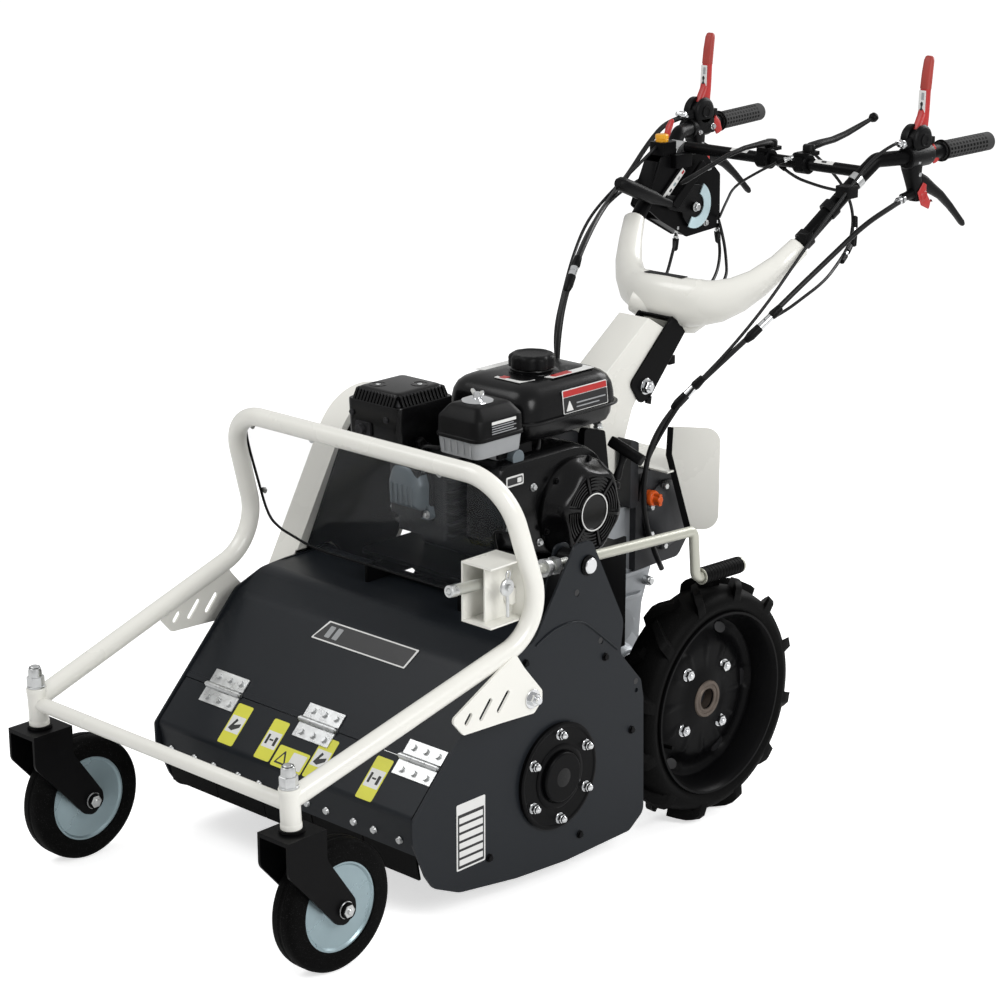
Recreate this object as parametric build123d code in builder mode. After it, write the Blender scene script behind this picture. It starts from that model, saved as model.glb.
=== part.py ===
"""A walk-behind flail brush mower: deck, front castor frame, engine, gearbox, wheels and handlebar.

Row frame: X to the operator's left, Y to the rear, Z up from the ground, millimetres.
The machine stands on its castors and drive wheels a little nose-down, as it does with the
cutting height set low. So its shapes are laid out in machine stations, "aft" behind the castor
stems and "up" from the castors' ground, and at() turns a station into the row frame.
"""
import os
from math import cos, radians, sin, tan

from build123d import *

os.makedirs("parts", exist_ok=True)

# ---- driving dimensions -------------------------------------------------------------------
stem_y = -865.0            # row Y of the castor stems, which puts the origin at mid-length
pitch = radians(3.3)       # how far the machine stands nose-down
castor_trail = 78.0        # castor axle behind the stem
castor_radius = 106.0
castor_width = 46.0
castor_x = 304.0           # stems, left and right of the middle
stem_lean = radians(2.3)

deck_half = 308.0          # inside face of the side plates
sheet = 4.0                # side plates
hood_sheet = 3.0
rotor_aft, rotor_up = 581.0, 165.0
crank_aft, crank_up = 800.0, 552.0     # engine crankshaft
drive_radius = 219.8       # drive wheel over its lugs
rim_radius = 163.0
wheel_outer_x = 306.0
wheel_width = 84.0
axle_aft = 1021.0
tube_radius = 16.0         # front frame
pivot_aft, pivot_up = 479.0, 338.0     # where the front frame hinges on the deck
overall_half = 368.0       # belt guard on one side, hinge bolt on the other
running_gap = 0.05         # radial clearance of a shaft in its bore
panel_gap = 0.5            # between pieces that move past each other

up_dir = Vector(0, -sin(pitch), cos(pitch))
aft_dir = Vector(0, cos(pitch), sin(pitch))


def at(aft, up):
    """Row Y and Z of a machine station."""
    run, rise = aft - castor_trail, up - castor_radius
    y = stem_y + castor_trail + run * cos(pitch) - rise * sin(pitch)
    return y, castor_radius + run * sin(pitch) + rise * cos(pitch)


def point(x, aft, up):
    return Vector(x, *at(aft, up))


def heading(aft, up):
    """A unit direction given in machine stations."""
    start, end = at(0, 0), at(aft, up)
    return Vector(0, end[0] - start[0], end[1] - start[1]).normalized()


def side(x):
    """A plane square to X, whose own x is row Y and whose own y is row Z."""
    return Plane(origin=(x, 0, 0), x_dir=(0, 1, 0), z_dir=(1, 0, 0))


def level(x, aft, up):
    """A plane along the machine's floor: own x is row X, own y runs aft, normal up."""
    return Plane(origin=point(x, aft, up), x_dir=(1, 0, 0), z_dir=up_dir)


def upright(x, aft, up):
    """A plane square to the machine's length, normal aft: own x is row X reversed, own y is up."""
    return Plane(origin=point(x, aft, up), x_dir=(-1, 0, 0), z_dir=aft_dir)


def slab(x, thickness, stations, radii=0.0, mode=Mode.ADD):
    """A plate square to X from x to x + thickness, with an outline of machine stations."""
    with BuildSketch(side(x)) as profile:
        with BuildLine():
            if radii:
                FilletPolyline(*[at(*station) for station in stations], radius=radii, close=True)
            else:
                Polyline(*[at(*station) for station in stations], close=True)
        make_face()
    extrude(profile.sketch, amount=thickness, mode=mode)


def rod(start, end, radius, mode=Mode.ADD):
    """A round bar, or with Mode.SUBTRACT a round hole, between two row points."""
    with BuildSketch(Plane(origin=start, z_dir=end - start)) as profile:
        Circle(radius)
    extrude(profile.sketch, amount=(end - start).length, mode=mode)


def cross_rod(aft, up, x0, x1, radius, mode=Mode.ADD):
    rod(point(x0, aft, up), point(x1, aft, up), radius, mode)


def pipe(points, radii, radius, mode=Mode.ADD):
    """A round tube swept along a filleted path; returns the path's length."""
    with BuildLine() as path:
        FilletPolyline(*points, radius=radii)
    route = path.wires()[0]
    with BuildSketch(Plane(origin=route @ 0, z_dir=route % 0)) as profile:
        Circle(radius)
    sweep(profile.sketch, path=route, mode=mode)
    return route.length


def block(x0, x1, aft0, aft1, up0, up1, radius=0.0, mode=Mode.ADD):
    """A box in machine stations; its vertical edges may be rounded."""
    with BuildSketch(level((x0 + x1) / 2, (aft0 + aft1) / 2, up0)) as profile:
        if radius:
            RectangleRounded(x1 - x0, aft1 - aft0, radius)
        else:
            Rectangle(x1 - x0, aft1 - aft0)
    extrude(profile.sketch, amount=up1 - up0, mode=mode)


def save(builder, name):
    builder.part.label = name
    export_step(builder.part, f"parts/{name}.step")


# ---- deck -----------------------------------------------------------------------------------
side_outline = [
    (246, 186), (247, 148), (274, 85), (292, 59), (351, 32), (485, 12), (607, 3), (769, 5),
    (806, 30), (801, 240), (794, 274), (739, 336), (747, 392), (664, 552), (624, 552), (528, 413),
    (500, 405), (436, 382),
]
side_radii = [10, 14, 20, 30, 60, 30, 200, 20, 20, 25, 12, 20, 40, 17, 17, 20, 60, 30]
plain_outline = side_outline[:11] + [(700, 386), (661, 411), (558, 409)] + side_outline[16:]
plain_radii = side_radii[:11] + [20, 20, 40] + side_radii[16:]
stud_circle = 74.0
stud_angles = [30 + 60 * k for k in range(6)]
trunnion_aft, trunnion_up = 654.0, 511.0
trunnion_radius = 11.0
spare_holes = [(630, 467), (691, 369), (782, 258)]

with BuildPart() as side_plate_left:
    slab(deck_half, sheet, side_outline, side_radii)
    cross_rod(trunnion_aft, trunnion_up, deck_half - 1, deck_half + sheet + 1,
              trunnion_radius + running_gap, Mode.SUBTRACT)
    cross_rod(rotor_aft, rotor_up, deck_half - 1, deck_half + sheet + 1, 17, Mode.SUBTRACT)
    for hole_aft, hole_up in spare_holes:
        cross_rod(hole_aft, hole_up, deck_half - 1, deck_half + sheet + 1, 4.2, Mode.SUBTRACT)
save(side_plate_left, "side_plate_left")

with BuildPart() as side_plate_right:
    slab(-deck_half - sheet, sheet, plain_outline, plain_radii)
    cross_rod(rotor_aft, rotor_up, -deck_half - sheet - 1, -deck_half + 1, 17, Mode.SUBTRACT)
    for hole_aft, hole_up in spare_holes[1:]:
        cross_rod(hole_aft, hole_up, -deck_half - sheet - 1, -deck_half + 1, 4.2, Mode.SUBTRACT)
save(side_plate_right, "side_plate_right")

hood_path = [(320.6, 255.5), (439.6, 375.7), (500, 406), (656, 406), (735, 332), (784, 272), (790, 60)]
with BuildPart() as deck_hood:
    with BuildSketch(side(-deck_half)):
        with BuildLine() as hood_line:
            FilletPolyline(*[at(*p) for p in hood_path], radius=[60, 60, 30, 40, 25])
        trace(line_width=hood_sheet)
    extrude(amount=2 * deck_half)
save(deck_hood, "deck_hood")

# ---- front flap on three hinges ---------------------------------------------------------------
pin_aft, pin_up = 312.0, 255.0
pin_radius = 3.0
knuckle_radius = 5.5
hinge_x = [-204.0, 30.0, 263.0]
hinge_width = 84.0
slope = radians(45.4)      # the hood's front slope
flap_half = 304.0


def slope_station(along, above):
    """A station measured down the slope from the hinge pins and square to it."""
    return (pin_aft - along * cos(slope) - above * sin(slope),
            pin_up - along * sin(slope) + above * cos(slope))


flap_line = [slope_station(7, -5.1), slope_station(91, -5.1), (263, 122)]
with BuildPart() as front_flap:
    with BuildSketch(side(-flap_half)):
        with BuildLine():
            FilletPolyline(*[at(*p) for p in flap_line], radius=12)
        trace(line_width=hood_sheet)
    extrude(amount=2 * flap_half)
save(front_flap, "front_flap")

skirt_half = 300.0
with BuildPart() as flap_skirt:
    for panel in range(5):
        panel_width = 2 * skirt_half / 5
        left = -skirt_half + panel * panel_width + 1
        slab(left, panel_width - 2, [(260.3, 148), (264.3, 148.7), (277.5, 76), (273.2, 75.2)])
save(flap_skirt, "flap_skirt")

bolt_x = [-282, -222, -172, -110, -58, 0, 58, 104, 168, 214, 272]


def hinge_leaf(x, sign):
    """One leaf of a hinge: sign +1 lies up the hood, -1 lies down the flap."""
    slab(x - hinge_width / 2, hinge_width,
         [slope_station(-sign * 5.9, -3.6), slope_station(-sign * 31, -3.6),
          slope_station(-sign * 31, -1.2), slope_station(-sign * 5.9, -1.2)])


with BuildPart() as hinge_upper_leaves:
    for x in hinge_x:
        hinge_leaf(x, 1)
        cross_rod(pin_aft, pin_up, x - 15, x + 15, knuckle_radius)
        slab(x - 15, 30, [slope_station(-3, -3.6), slope_station(-7, -3.6), slope_station(-7, -1.2),
                          slope_station(-3, -1.2)])
        cross_rod(pin_aft, pin_up, x - 46, x + 44, pin_radius)
        for bolt in (-27, 0, 27):
            rod(point(x + bolt, *slope_station(-20, -1.2)), point(x + bolt, *slope_station(-20, 3)), 5.5)
save(hinge_upper_leaves, "hinge_upper_leaves")

with BuildPart() as hinge_lower_leaves:
    for x in hinge_x:
        hinge_leaf(x, -1)
        for knuckle in (-41.5, 15.5):
            cross_rod(pin_aft, pin_up, x + knuckle, x + knuckle + 26, knuckle_radius)
            slab(x + knuckle, 26, [slope_station(3.4, -3.6), slope_station(7, -3.6), slope_station(7, -1.2),
                                   slope_station(3.4, -1.2)])
            cross_rod(pin_aft, pin_up, x + knuckle - 1, x + knuckle + 27,
                      pin_radius + running_gap, Mode.SUBTRACT)
        for bolt in (-27, 0, 27):
            rod(point(x + bolt, *slope_station(20, -1.2)), point(x + bolt, *slope_station(20, 3)), 5.5)
    for x in bolt_x:
        with BuildSketch(Plane(origin=point(x, 257.9, 142), z_dir=heading(-0.985, -0.172))):
            Circle(6.5)
        extrude(amount=4, taper=18)
save(hinge_lower_leaves, "hinge_lower_leaves")

# ---- flail rotor, its bearing cover and belt drive ---------------------------------------------
rotor_tube = 42.0
flail_rows = 2
flail_reach = 128.0        # pin to rotor axis plus blade
lug_radius = 62.0          # flail pins sit on this circle
lugs_per_row = 6
belt_x = -341.0            # middle of the belt

with BuildPart() as rotor_bearing_cover:
    with BuildSketch(side(deck_half + sheet)):
        with Locations(at(rotor_aft, rotor_up)):
            Circle(91)
    extrude(amount=7)
    with BuildSketch(side(deck_half + sheet + 7)):
        with Locations(at(rotor_aft, rotor_up)):
            Circle(43)
    extrude(amount=10)
    fillet(rotor_bearing_cover.edges().group_by(Axis.X)[-1], 4)
    cross_rod(rotor_aft, rotor_up, deck_half + sheet - 1, deck_half + sheet + 12, 20, Mode.SUBTRACT)
save(rotor_bearing_cover, "rotor_bearing_cover")

with BuildPart() as flail_rotor:
    cross_rod(rotor_aft, rotor_up, -deck_half + 4, deck_half - 4, rotor_tube)
    cross_rod(rotor_aft, rotor_up, belt_x - 15, deck_half + sheet + 9, 15)
    cross_rod(rotor_aft, rotor_up, belt_x - 12, belt_x + 12, 62)
    for groove in (-5.5, 5.5):
        with BuildSketch(side(belt_x + groove - 5)):
            with Locations(at(rotor_aft, rotor_up)):
                Circle(63)
                Circle(54, mode=Mode.SUBTRACT)
        extrude(amount=10, mode=Mode.SUBTRACT)
    for row in range(flail_rows):
        turn = radians(180 * row + 20)
        lug_aft = rotor_aft + lug_radius * cos(turn)
        lug_up = rotor_up + lug_radius * sin(turn)
        offset = 46 if row % 2 else 0
        for lug in range(lugs_per_row):
            x = -deck_half + 34 + offset + 92 * lug
            if x > deck_half - 30:
                continue
            for cheek in (-13, 9):
                with BuildSketch(side(x + cheek)):
                    with Locations(at(lug_aft, lug_up)):
                        Circle(12)
                    with BuildLine():
                        base_a = (rotor_aft + 36 * cos(turn + 0.45), rotor_up + 36 * sin(turn + 0.45))
                        base_b = (rotor_aft + 36 * cos(turn - 0.45), rotor_up + 36 * sin(turn - 0.45))
                        ear_a = (lug_aft - 12 * sin(turn), lug_up + 12 * cos(turn))
                        ear_b = (lug_aft + 12 * sin(turn), lug_up - 12 * cos(turn))
                        Polyline(at(*base_a), at(*ear_a), at(*ear_b), at(*base_b), close=True)
                    make_face()
                extrude(amount=4)
                cross_rod(lug_aft, lug_up, x + cheek - 1, x + cheek + 5, 6 + running_gap, Mode.SUBTRACT)
save(flail_rotor, "flail_rotor")

for row in range(flail_rows):
    turn = radians(180 * row + 20)
    lug_aft = rotor_aft + lug_radius * cos(turn)
    lug_up = rotor_up + lug_radius * sin(turn)
    offset = 46 if row % 2 else 0
    row_x = [-deck_half + 34 + offset + 92 * lug for lug in range(lugs_per_row)]
    row_x = [x for x in row_x if x < deck_half - 30]
    with BuildPart() as flail_row:
        cross_rod(lug_aft, lug_up, row_x[0] - 15, row_x[-1] + 15, 6)
        for x in row_x:
            for lean in (-1, 1):
                tip = 62.0
                shank = Plane(origin=point(x + 4 * lean, lug_aft, lug_up),
                              x_dir=(1, 0, 0),
                              z_dir=heading(-sin(turn), cos(turn)))
                with BuildSketch(shank):
                    with BuildLine():
                        Polyline((-3, -10), (3, -10), (3, 30), (3 + 12 * lean, tip), (-3 + 12 * lean, tip),
                                 (-3, 30), close=True)
                    make_face()
                extrude(amount=16, both=True)
        cross_rod(lug_aft, lug_up, row_x[0] - 15, row_x[-1] + 15, 6)
    save(flail_row, f"flail_row_{row + 1}")

# ---- chassis ----------------------------------------------------------------------------------
chassis_x = 108.0
platform_up = 440.0
hood_top = 406 + hood_sheet / 2
gearbox_half = 58.0

with BuildPart() as chassis_frame:
    for x in (-chassis_x - 5, chassis_x):
        slab(x, 5, [(560, hood_top), (672, hood_top), (748, 332), (800, 272), (803, 235), (985, 235),
                    (985, platform_up), (560, platform_up)])
    block(-chassis_x, chassis_x, 803, 808, 240, 436)
    block(-chassis_x - 60, chassis_x + 45, 600, 940, platform_up, platform_up + 7, 12)
    for x in (-chassis_x, gearbox_half):
        block(x, x + chassis_x - gearbox_half, 930, 975, 300, 400)
save(chassis_frame, "chassis_frame")

with BuildPart() as gearbox_housing:
    slab(-gearbox_half, 2 * gearbox_half,
         [(962, 130), (1080, 130), (1095, 278), (1122, 349), (1058, 349), (1058, 470), (950, 470),
          (942, 300)], [40, 40, 30, 0, 0, 0, 6, 30])
    cross_rod(axle_aft, 165.6, -gearbox_half - 38, gearbox_half + 38, 46)
    for aft, up, reach in ((1030, 250, 12), (1005, 330, 10)):
        cross_rod(aft, up, -gearbox_half - reach, gearbox_half + reach, 30)
    cross_rod(axle_aft, 165.6, -gearbox_half - 40, gearbox_half + 40, 17 + running_gap, Mode.SUBTRACT)
save(gearbox_housing, "gearbox_housing")

casting_half = 72.0
dipstick_aft, dipstick_up = 1092.0, 481.0
with BuildPart() as gearbox_casting:
    slab(-casting_half, 2 * casting_half,
         [(1058, 349), (1180, 349), (1210, 385), (1210, 500), (1180, 530), (1058, 530)],
         [0, 20, 20, 20, 20, 6])
    cross_rod(1140, 440, -casting_half - 8, casting_half + 8, 46)
    cross_rod(dipstick_aft, dipstick_up, casting_half - 30, casting_half + 1, 8 + running_gap, Mode.SUBTRACT)
save(gearbox_casting, "gearbox_casting")

with BuildPart() as gearbox_dipstick:
    cross_rod(dipstick_aft, dipstick_up, casting_half - 28, casting_half + 1, 8)
    cross_rod(dipstick_aft, dipstick_up, casting_half, casting_half + 8, 14)
    cross_rod(dipstick_aft, dipstick_up, casting_half + 8, casting_half + 16, 8)
save(gearbox_dipstick, "gearbox_dipstick")

with BuildPart() as rear_guards:
    for hand in (-1, 1):
        along = Vector(hand * 76, 0, 0) + 52 * aft_dir
        wing = Plane(origin=point(hand * 100, 1114, 424), x_dir=along, z_dir=along.cross(up_dir))
        with BuildSketch(wing):
            with BuildLine():
                FilletPolyline((36, 0), (92, 0), (92, 190), (2, 190), (0, 138), radius=[4, 30, 26, 4, 6], close=True)
            make_face()
        extrude(amount=1.5, both=True)
    block(-101, 101, 1212, 1215, 470, 500)
    block(-110, 110, 1100, 1215, 531, 534)
save(rear_guards, "rear_guards")

# ---- drive wheels -------------------------------------------------------------------------------
axle = Plane(origin=point(0, axle_aft, 165.6), x_dir=(0, 1, 0), z_dir=(1, 0, 0))
wheel_profile = Plane(origin=point(0, axle_aft, 165.6), x_dir=(1, 0, 0), z_dir=(0, -1, 0))
wheel_axis = Axis(point(0, axle_aft, 165.6), (1, 0, 0))
rim_flange = rim_radius + 2
rim_section = [
    (wheel_outer_x, rim_flange), (wheel_outer_x, rim_flange - 4), (wheel_outer_x - 9, 155),
    (wheel_outer_x - 24, 150), (wheel_outer_x - 30, 112), (wheel_outer_x - 44, 104),
    (wheel_outer_x - 44, 44), (wheel_outer_x - 36, 36), (wheel_outer_x - 24, 36),
    (wheel_outer_x - 24, 17), (wheel_outer_x - 110, 17), (wheel_outer_x - 110, 30),
    (wheel_outer_x - 49, 30), (wheel_outer_x - 49, 108), (wheel_outer_x - 34, 118),
    (wheel_outer_x - 34, 146), (wheel_outer_x - wheel_width, 155),
    (wheel_outer_x - wheel_width, rim_flange), (wheel_outer_x - wheel_width + 4, rim_flange),
    (wheel_outer_x - wheel_width + 6, 160), (wheel_outer_x - 6, 160), (wheel_outer_x - 4, rim_flange),
]
tyre_section = [
    (wheel_outer_x - 7, 161), (wheel_outer_x - 5, 170), (wheel_outer_x + 1, 180),
    (wheel_outer_x - 3, 196), (wheel_outer_x - 22, 203), (wheel_outer_x - wheel_width + 22, 203),
    (wheel_outer_x - wheel_width + 3, 196), (wheel_outer_x - wheel_width - 1, 180),
    (wheel_outer_x - wheel_width + 5, 170), (wheel_outer_x - wheel_width + 7, 161),
]
lug_count = 12
window_count = 8

with BuildPart() as wheel_rim_left:
    with BuildSketch(wheel_profile):
        with BuildLine():
            Polyline(*rim_section, close=True)
        make_face()
    revolve(axis=wheel_axis)
    with BuildSketch(axle.offset(wheel_outer_x - 60)):
        with PolarLocations(128, window_count):
            SlotOverall(46, 14, rotation=90)
    extrude(amount=40, mode=Mode.SUBTRACT)
    with BuildSketch(axle.offset(4)):
        Circle(17)
        Circle(10, mode=Mode.SUBTRACT)
    extrude(amount=wheel_outer_x - 30)
    with BuildSketch(axle.offset(wheel_outer_x - 44)):
        with PolarLocations(72, 4, start_angle=40):
            RegularPolygon(10, 6)
    extrude(amount=11)
save(wheel_rim_left, "wheel_rim_left")

with BuildPart() as wheel_rim_right:
    mirror(wheel_rim_left.part, about=Plane.YZ)
save(wheel_rim_right, "wheel_rim_right")

with BuildPart() as wheel_tyre_left:
    with BuildSketch(wheel_profile):
        with BuildLine():
            Polyline(*tyre_section, close=True)
        make_face()
    revolve(axis=wheel_axis)
    for lug in range(lug_count):
        for row, shift in ((1, 0.0), (-1, 0.5)):
            turn = 360 * (lug + shift) / lug_count
            outward = axle.z_dir.cross(axle.x_dir).rotate(Axis((0, 0, 0), (1, 0, 0)), turn)
            foot = axle.origin + Vector(wheel_outer_x - wheel_width / 2, 0, 0) + outward * 196
            with BuildSketch(Plane(origin=foot, x_dir=(1, 0, 0), z_dir=outward)):
                with Locations(Location((row * 20, 0), row * 32)):
                    Rectangle(40, 15)
            extrude(amount=drive_radius - 196, taper=4)
save(wheel_tyre_left, "wheel_tyre_left")

with BuildPart() as wheel_tyre_right:
    mirror(wheel_tyre_left.part, about=Plane.YZ)
save(wheel_tyre_right, "wheel_tyre_right")

# ---- height adjuster -------------------------------------------------------------------------------
spindle_x = 281.0
spindle_slope = -0.0644
spindle_radius = 9.0
nut_aft = 480.0


def spindle_up(aft):
    return 530 + spindle_slope * (aft - 366)


# ---- front frame with the castors ----------------------------------------------------------------
stem_axis = heading(-sin(stem_lean), cos(stem_lean))
gusset_x = 347.0
pivot_radius = 10.0
hoop = [(castor_x, 0, 300), (341, 521, 448.6), (322, 446, 698)]
gusset_outline = [(295, 352), (322, 321), (409, 317), (484, 312), (503, 329), (503, 346), (461, 395),
                  (440, 425)]


def stem_point(x, along):
    return point(x, 0, 300) + stem_axis * along


with BuildPart() as front_frame:
    corners = [point(*c) for c in hoop] + [point(-c[0], c[1], c[2]) for c in reversed(hoop)]
    pipe(corners, [86, 85, 85, 86], tube_radius)
    cross_rod(0, 293, -castor_x, castor_x, 12)
    for hand in (-1, 1):
        rod(stem_point(hand * castor_x, -44), stem_point(hand * castor_x, 21), 16)
        slab(gusset_x if hand > 0 else -gusset_x - 4, 4, gusset_outline, [8, 8, 30, 8, 8, 8, 8, 8])
    block(262, 326, 410, 490, 465, 468)
    block(262, 326, 410, 490, 562, 565)
    block(262, 265, 410, 490, 465, 565)
    block(297, 300, 424, 490, 465, 565)
    block(300, 326, 487, 490, 465, 565)
    block(265, 297, 474, 486, 490, 556)
    rod(point(spindle_x, 460, spindle_up(460)), point(spindle_x, 500, spindle_up(500)), 12.6, Mode.SUBTRACT)
    cross_rod(nut_aft, 500, 299, 308, 14)
    for hand in (-1, 1):
        rod(stem_point(hand * castor_x, -50), stem_point(hand * castor_x, 30), 10 + running_gap,
            Mode.SUBTRACT)
        x0 = gusset_x - 1 if hand > 0 else -gusset_x - 5
        cross_rod(pivot_aft, pivot_up, x0, x0 + 6, pivot_radius + running_gap, Mode.SUBTRACT)
        for slot_aft, slot_up, slot_length in ((333, 345, 22), (372, 350, 40), (412, 352, 40)):
            with BuildSketch(side(x0)):
                with Locations(Location((*at(slot_aft, slot_up), 0), 52)):
                    SlotOverall(slot_length, 9)
            extrude(amount=6, mode=Mode.SUBTRACT)
save(front_frame, "front_frame")

shield_up = heading(-75, 249.4)
shield = Plane(origin=point(0, 521, 448.6), x_dir=(-1, 0, 0), z_dir=Vector(-1, 0, 0).cross(shield_up))
with BuildPart() as windshield:
    with BuildSketch(shield.offset(tube_radius)):
        with BuildLine():
            FilletPolyline((-322, 52), (-322, 238), (322, 238), (322, 28), (222, -4), (-222, -4), (-248, 12),
                           (-248, 148), (-305, 148), radius=[6, 60, 60, 20, 20, 10, 8, 8, 4], close=True)
        make_face()
    extrude(amount=3)
save(windshield, "windshield")

with BuildPart() as deck_fasteners:
    slab(252, 4, [(598, hood_top), (690, hood_top), (671, 536), (637, 536)], [2, 2, 16, 16])
    cross_rod(trunnion_aft, trunnion_up, 256, 305, 19)
    cross_rod(trunnion_aft, trunnion_up, 250, deck_half + sheet + 3, trunnion_radius)
    cross_rod(trunnion_aft, trunnion_up, deck_half + sheet, deck_half + sheet + 10, 13)
    rod(point(spindle_x, 620, spindle_up(620)), point(spindle_x, 690, spindle_up(690)),
        spindle_radius + running_gap, Mode.SUBTRACT)
    for hand in (-1, 1):
        cross_rod(pivot_aft, pivot_up, hand * (deck_half + sheet), hand * (gusset_x - panel_gap), 15)
        cross_rod(pivot_aft, pivot_up, hand * (gusset_x - panel_gap), hand * (gusset_x + 5), pivot_radius)
        cross_rod(pivot_aft, pivot_up, hand * (gusset_x + 5), hand * (overall_half - 8), 16)
        with BuildSketch(side(overall_half - 8 if hand > 0 else -overall_half)):
            with Locations(at(pivot_aft, pivot_up)):
                RegularPolygon(12, 6)
        extrude(amount=8)
    for angle in stud_angles:
        nut_aft = rotor_aft + stud_circle * cos(radians(angle))
        nut_up = rotor_up + stud_circle * sin(radians(angle))
        face = deck_half + sheet + 7
        cross_rod(nut_aft, nut_up, face, face + 2, 9.5)
        with BuildSketch(side(face + 2)):
            with Locations(at(nut_aft, nut_up)):
                RegularPolygon(7.5, 6)
        extrude(amount=6)
        with BuildSketch(side(face + 8)):
            with Locations(at(nut_aft, nut_up)):
                Circle(6)
        extrude(amount=6, taper=20)
save(deck_fasteners, "deck_fasteners")

with BuildPart() as height_crank:
    pipe([point(spindle_x, 366, spindle_up(366)), point(spindle_x, 965, spindle_up(965)),
          point(spindle_x, 973, 404), point(spindle_x, 1092, 399.5)], [14, 14], spindle_radius)
    rod(point(spindle_x, 987, 403.5), point(spindle_x, 1096, 399.3), 14.5)
save(height_crank, "height_crank")

# ---- castors -----------------------------------------------------------------------------------------
with BuildPart() as castor_fork_left:
    rod(stem_point(castor_x, -48), stem_point(castor_x, 26), 10)
    rod(stem_point(castor_x, 21.5), stem_point(castor_x, 40), 12)
    rod(stem_point(castor_x, 40), stem_point(castor_x, 56), 9)
    rod(stem_point(castor_x, -50), stem_point(castor_x, -44.5), 20)
    block(castor_x - 34, castor_x + 34, -36, 42, 243, 250)
    for x in (castor_x - 34, castor_x + 29):
        slab(x, 5, [(-36, 247), (-36, 196), (58, 88), (78, 80), (100, 100), (98, 118), (42, 200),
                    (42, 247)], [0.5, 20, 12, 16, 14, 16, 20, 0.5])
    cross_rod(castor_trail, castor_radius, castor_x - 38, castor_x + 38, 8)
    cross_rod(castor_trail, castor_radius, castor_x + 34, castor_x + 42, 13)
    cross_rod(castor_trail, castor_radius, castor_x - 42, castor_x - 34, 13)
save(castor_fork_left, "castor_fork_left")

with BuildPart() as castor_fork_right:
    mirror(castor_fork_left.part, about=Plane.YZ)
save(castor_fork_right, "castor_fork_right")

castor_axle = Plane(origin=point(castor_x, castor_trail, castor_radius), x_dir=(0, 1, 0), z_dir=(1, 0, 0))
with BuildPart() as castor_wheel_left:
    with BuildSketch(castor_axle.offset(-castor_width / 2)):
        Circle(castor_radius)
        Circle(72, mode=Mode.SUBTRACT)
    extrude(amount=castor_width)
    fillet(castor_wheel_left.edges().filter_by(GeomType.CIRCLE).group_by(SortBy.LENGTH)[-1], 9)
    with BuildSketch(castor_axle.offset(-castor_width / 2 + 6)):
        Circle(72)
    extrude(amount=castor_width - 12)
    with BuildSketch(castor_axle.offset(-28)):
        Circle(19)
    extrude(amount=56)
    with BuildSketch(castor_axle.offset(-30)):
        Circle(8 + running_gap)
    extrude(amount=60, mode=Mode.SUBTRACT)
save(castor_wheel_left, "castor_wheel_left")

with BuildPart() as castor_wheel_right:
    mirror(castor_wheel_left.part, about=Plane.YZ)
save(castor_wheel_right, "castor_wheel_right")

# ---- belt drive and its guard --------------------------------------------------------------------
guard_radius = 120.0
crank_pulley_radius = 52.0
rotor_pulley_radius = 62.0


def around_belt(x, radius_crank, radius_rotor, amount, mode=Mode.ADD):
    """A plate shaped like a loop round the crank pulley and the rotor pulley."""
    with BuildSketch(side(x)) as profile:
        with Locations(at(crank_aft, crank_up)):
            Circle(radius_crank)
        with Locations(at(rotor_aft, rotor_up)):
            Circle(radius_rotor)
        make_hull()
    extrude(profile.sketch, amount=amount, mode=mode)


with BuildPart() as belt_guard:
    around_belt(-overall_half, guard_radius, guard_radius, overall_half - deck_half - sheet)
    around_belt(-overall_half + 2.5, guard_radius - 2.5, guard_radius - 2.5,
                overall_half - deck_half - sheet - 5.5, Mode.SUBTRACT)
    with BuildSketch(side(-deck_half - sheet - 4)):
        with BuildLine():
            Polyline(*[at(*p) for p in [(400, 0), (860, 0), (860, 300), (735, 340), (661, 413), (400, 420)]],
                     close=True)
        make_face()
    extrude(amount=5, mode=Mode.SUBTRACT)
    cross_rod(crank_aft, crank_up, -deck_half - sheet - 4, -deck_half, 34, Mode.SUBTRACT)
save(belt_guard, "belt_guard")

with BuildPart() as drive_belt:
    around_belt(belt_x - 8, crank_pulley_radius + 3, rotor_pulley_radius + 3, 16)
    around_belt(belt_x - 9, crank_pulley_radius + panel_gap, rotor_pulley_radius + panel_gap, 18,
                Mode.SUBTRACT)
save(drive_belt, "drive_belt")

crank_bore = 13.0
with BuildPart() as crank_pulley:
    cross_rod(crank_aft, crank_up, -108, 40, crank_bore)
    cross_rod(crank_aft, crank_up, belt_x - 16, -106, 16)
    cross_rod(crank_aft, crank_up, belt_x - 12, belt_x + 12, crank_pulley_radius)
    for groove in (-5.5, 5.5):
        with BuildSketch(side(belt_x + groove - 4)):
            with Locations(at(crank_aft, crank_up)):
                Circle(crank_pulley_radius + 1)
                Circle(crank_pulley_radius - 8, mode=Mode.SUBTRACT)
        extrude(amount=8, mode=Mode.SUBTRACT)
save(crank_pulley, "crank_pulley")

# ---- engine ----------------------------------------------------------------------------------------
case_left, case_right = -105.0, 80.0
with BuildPart() as crankcase:
    slab(case_left, case_right - case_left,
         [(692, 447), (930, 447), (945, 475), (935, 600), (885, 650), (790, 650), (692, 640)],
         [10, 10, 20, 40, 25, 20, 10])
    cross_rod(crank_aft, crank_up, case_left - 1, 42, crank_bore + running_gap, Mode.SUBTRACT)
save(crankcase, "crankcase")

with BuildPart() as cylinder_head:
    block(-70, 45, 596, 692, 506, 644, 8)
    for fin in range(7):
        base = 515 + 19 * fin
        block(-84, 60, 600, 690, base, base + 4, 10)
    block(-58, 8, 566, 597, 545, 635, 8)
    block(-68, 18, 590, 597, 537, 643)
    cross_rod(612, 655, -30, -10, 10)
save(cylinder_head, "cylinder_head")

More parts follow.
